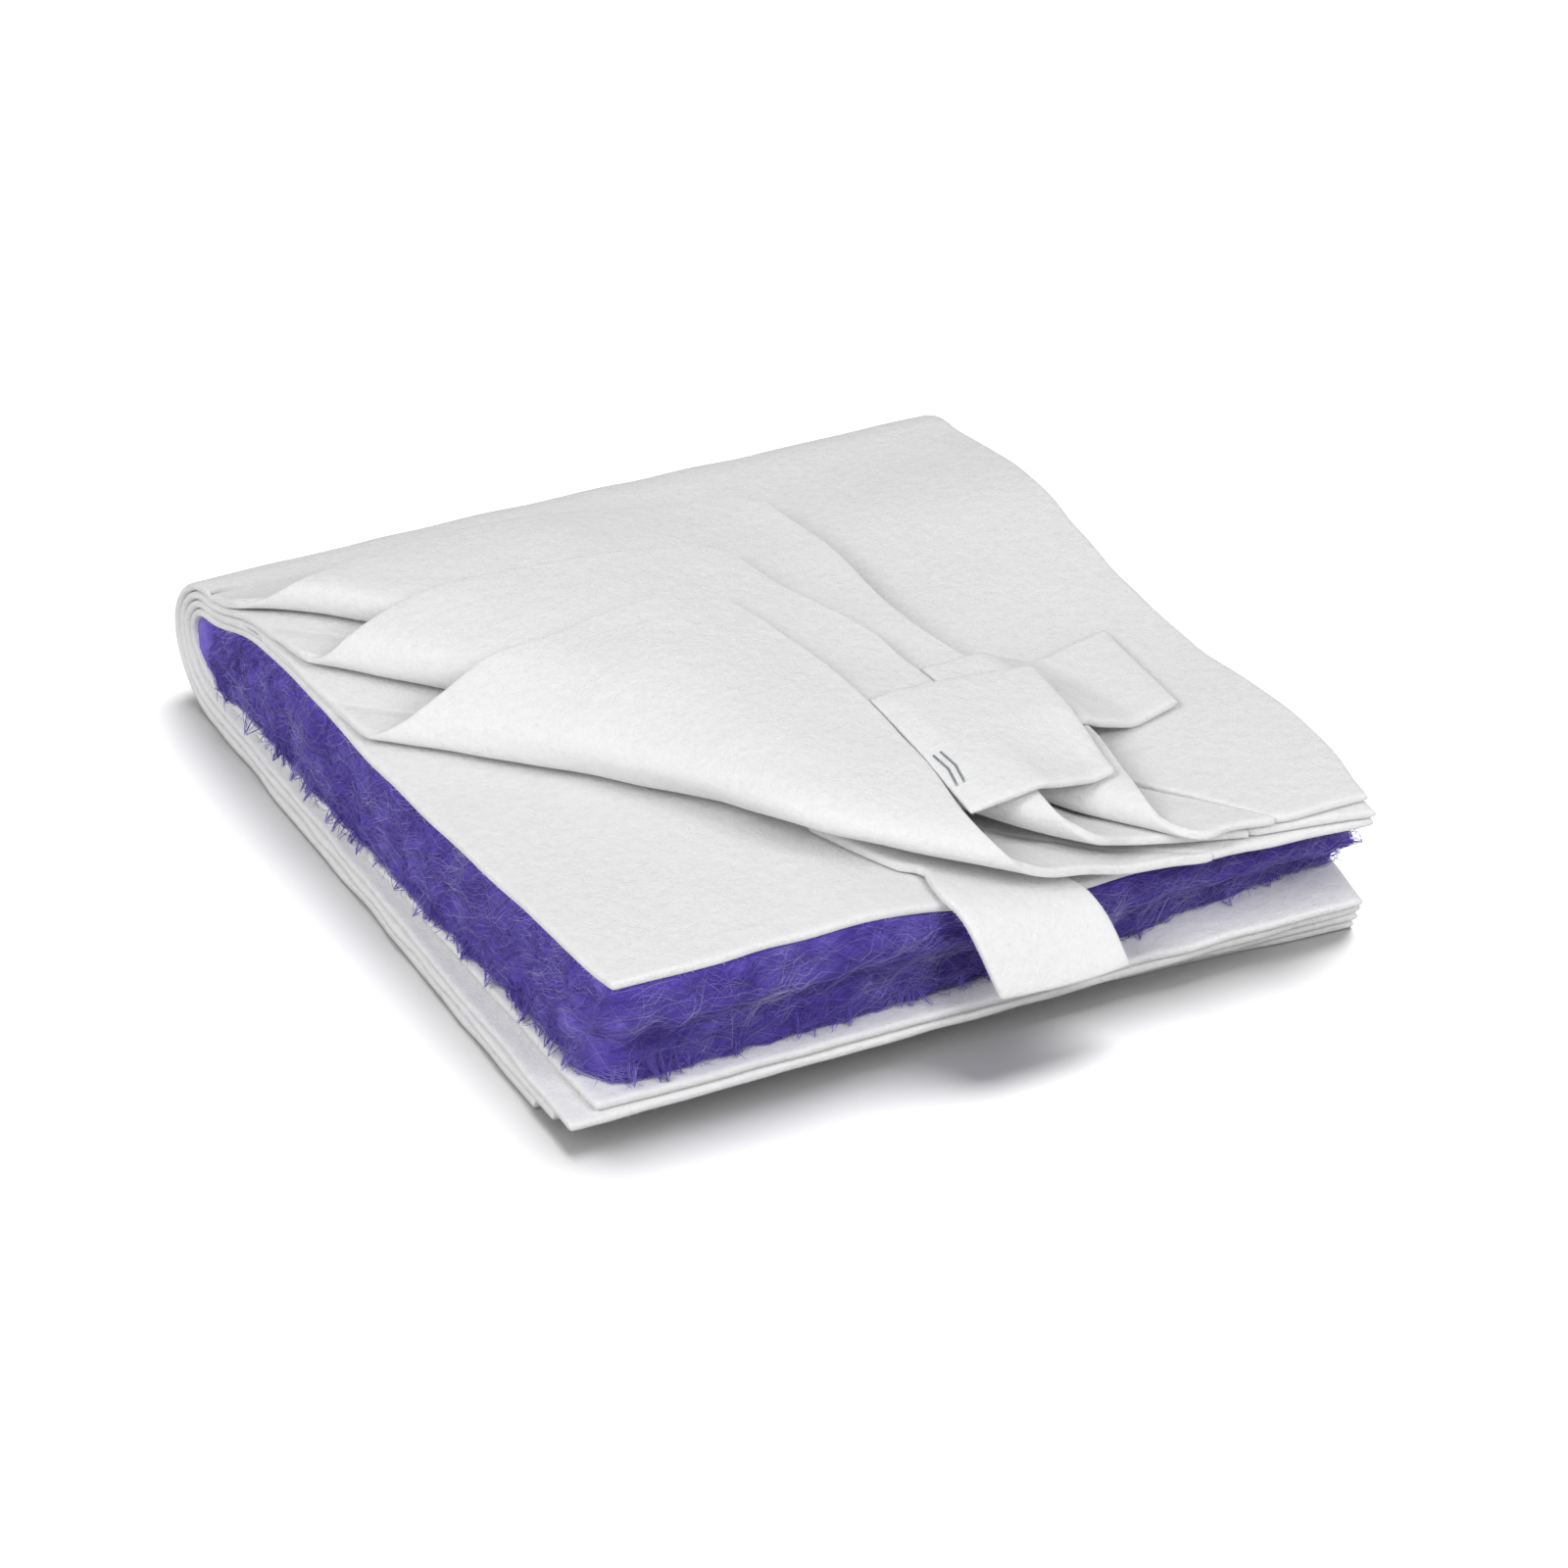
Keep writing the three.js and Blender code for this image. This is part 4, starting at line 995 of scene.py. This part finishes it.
# Number, face, length, mean slope, lift off the face and curl of the fibres
MID_WISPS = ((1300, on_front, (8, 26), .12, (.1, .9), .9),
             (1200, on_left, (7, 20), -.5, (.1, 1), .9),
             (600, on_right, (7, 20), .2, (.1, .9), .9))
LIGHT_WISPS = ((300, on_front, (8, 36), .16, (.3, 1.5), 1.6),
               (320, on_left, (6, 24), -.5, (.3, 1.5), 1.5),
               (160, on_right, (8, 24), .2, (.3, 1.4), 1.1))
TUFTS = ((46, "front", 31), (60, "left", 32), (40, "right", 33))
STRAYS = ((90, "front", 34), (90, "left", 35), (60, "right", 36))
MID_RADII = (.05, .1)
LIGHT_RADII = (.03, .06)

for half, zone, body, seed in (("lower", (0, .5), LOWER, 100), ("upper", (.5, .97), UPPER, 200)):
    mid = [wisps(*row, seed + i, zone) for i, row in enumerate(MID_WISPS, 1)]
    if half == "lower":
        mid += [tufts(*row) for row in TUFTS] + [strays(*row) for row in STRAYS]
    light = [wisps(*row, seed + i, zone) for i, row in enumerate(LIGHT_WISPS, 4)]
    for tone, groups, material, thick in (("mid", mid, STRANDS, MID_RADII),
                                          ("light", light, STRANDS_LIGHT, LIGHT_RADII)):
        paths = np.concatenate(groups)
        radii = np.random.default_rng(seed + 9).uniform(*thick, len(paths))
        obj = tubes(f"fleece_{half}_fibres_{tone}", paths, radii[:, None] * FIBRE_TAPER,
                    FIBRE_SIDES, FIBRE_ACROSS, material)
        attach(obj, body)

# Floor and world: both look brighter to the camera than they are as sources of light
FLOOR_SIZE = 30
FLOOR_LIT = (.42, .42, .42, 1)
FLOOR_SEEN = (.84, .84, .84, 1)
WORLD_LIT = .48
WORLD_SEEN = 1


def seen_by(nodes, links, kinds):
    """1 for these kinds of ray, 0 for the others."""
    path = nodes.new("ShaderNodeLightPath")
    value = path.outputs[f"Is {kinds[0]} Ray"]
    for kind in kinds[1:]:
        either = nodes.new("ShaderNodeMath")
        either.operation = "MAXIMUM"
        links.new(value, either.inputs[0])
        links.new(path.outputs[f"Is {kind} Ray"], either.inputs[1])
        value = either.outputs[0]
    return value


floor_material, nodes, links, _ = nodes_of("floor_white")
tone = nodes.new("ShaderNodeMix")
tone.data_type = "RGBA"
links.new(seen_by(nodes, links, ("Camera", "Glossy", "Transmission")), tone.inputs["Factor"])
set_inputs(tone, {"A": FLOOR_LIT, "B": FLOOR_SEEN})
diffuse = nodes.new("ShaderNodeBsdfDiffuse")
links.new(tone.outputs["Result"], diffuse.inputs["Color"])
links.new(diffuse.outputs[0], nodes["Material Output"].inputs["Surface"])
bpy.ops.mesh.primitive_plane_add(size=FLOOR_SIZE, location=(0, 0, 0))
floor = bpy.context.object
floor.name = "floor"
floor.data.materials.append(floor_material)

world = bpy.data.worlds.new("studio")
world.use_nodes = True
bpy.context.scene.world = world
nodes, links = world.node_tree.nodes, world.node_tree.links
back = nodes["Background"]
strength = nodes.new("ShaderNodeMix")
links.new(seen_by(nodes, links, ("Camera", "Glossy")), strength.inputs["Factor"])
set_inputs(strength, {"A": WORLD_LIT, "B": WORLD_SEEN})
set_inputs(back, {"Color": (1, 1, 1, 1)})
links.new(strength.outputs["Result"], back.inputs["Strength"])

# Lamps and camera
LAMP_DISTANCE = 2.2
LAMP_SIZE = .9
SUN_ANGLE = 42


def way_back(azimuth, elevation, distance=1):
    a, e = math.radians(azimuth), math.radians(elevation)
    return np.array([distance * math.sin(a) * math.cos(e), -distance * math.cos(a) * math.cos(e),
                     distance * math.sin(e)])


def put(name, data, place, aim):
    """A lamp or a camera at that place, looking along aim."""
    obj = bpy.data.objects.new(name, data)
    bpy.context.scene.collection.objects.link(obj)
    obj.location = place
    obj.rotation_euler = Vector(aim).to_track_quat("-Z", "Y").to_euler()
    return obj


def lamp(name, kind, azimuth, elevation, energy, lit):
    """A lamp that looks at the part's middle and lights only the objects in lit."""
    data = bpy.data.lights.new(name, kind)
    data.energy = energy
    place = way_back(azimuth, elevation, LAMP_DISTANCE)
    receivers = bpy.data.collections.new(f"lit_by_{name}")
    for obj in lit:
        receivers.objects.link(obj)
    put(name, data, place, -place).light_linking.receiver_collection = receivers
    return data


pieces = [o for o in bpy.data.objects if o.type == "MESH" and o is not floor]
for name, azimuth, elevation, power in (("key", -66, 42, 20), ("front", 14, 40, 17)):
    data = lamp(name, "AREA", azimuth, elevation, power, pieces)
    data.shape = "DISK"
    data.size = LAMP_SIZE
lamp("floor_lamp", "SUN", 128, 65, 4.5, [floor]).angle = math.radians(SUN_ANGLE)

AZIMUTH, ELEVATION = -26.81, 31
AIM = to_row((119.29, 124.3, 0))[0]
DISTANCE = 1.57
LENS = 141.75
SENSOR = 36
away = way_back(AZIMUTH, ELEVATION)
camera_data = bpy.data.cameras.new("camera")
camera_data.lens = LENS
camera_data.sensor_width = SENSOR
bpy.context.scene.camera = put("camera", camera_data, AIM + away * DISTANCE, -away)
bpy.context.scene.view_settings.view_transform = "Standard"
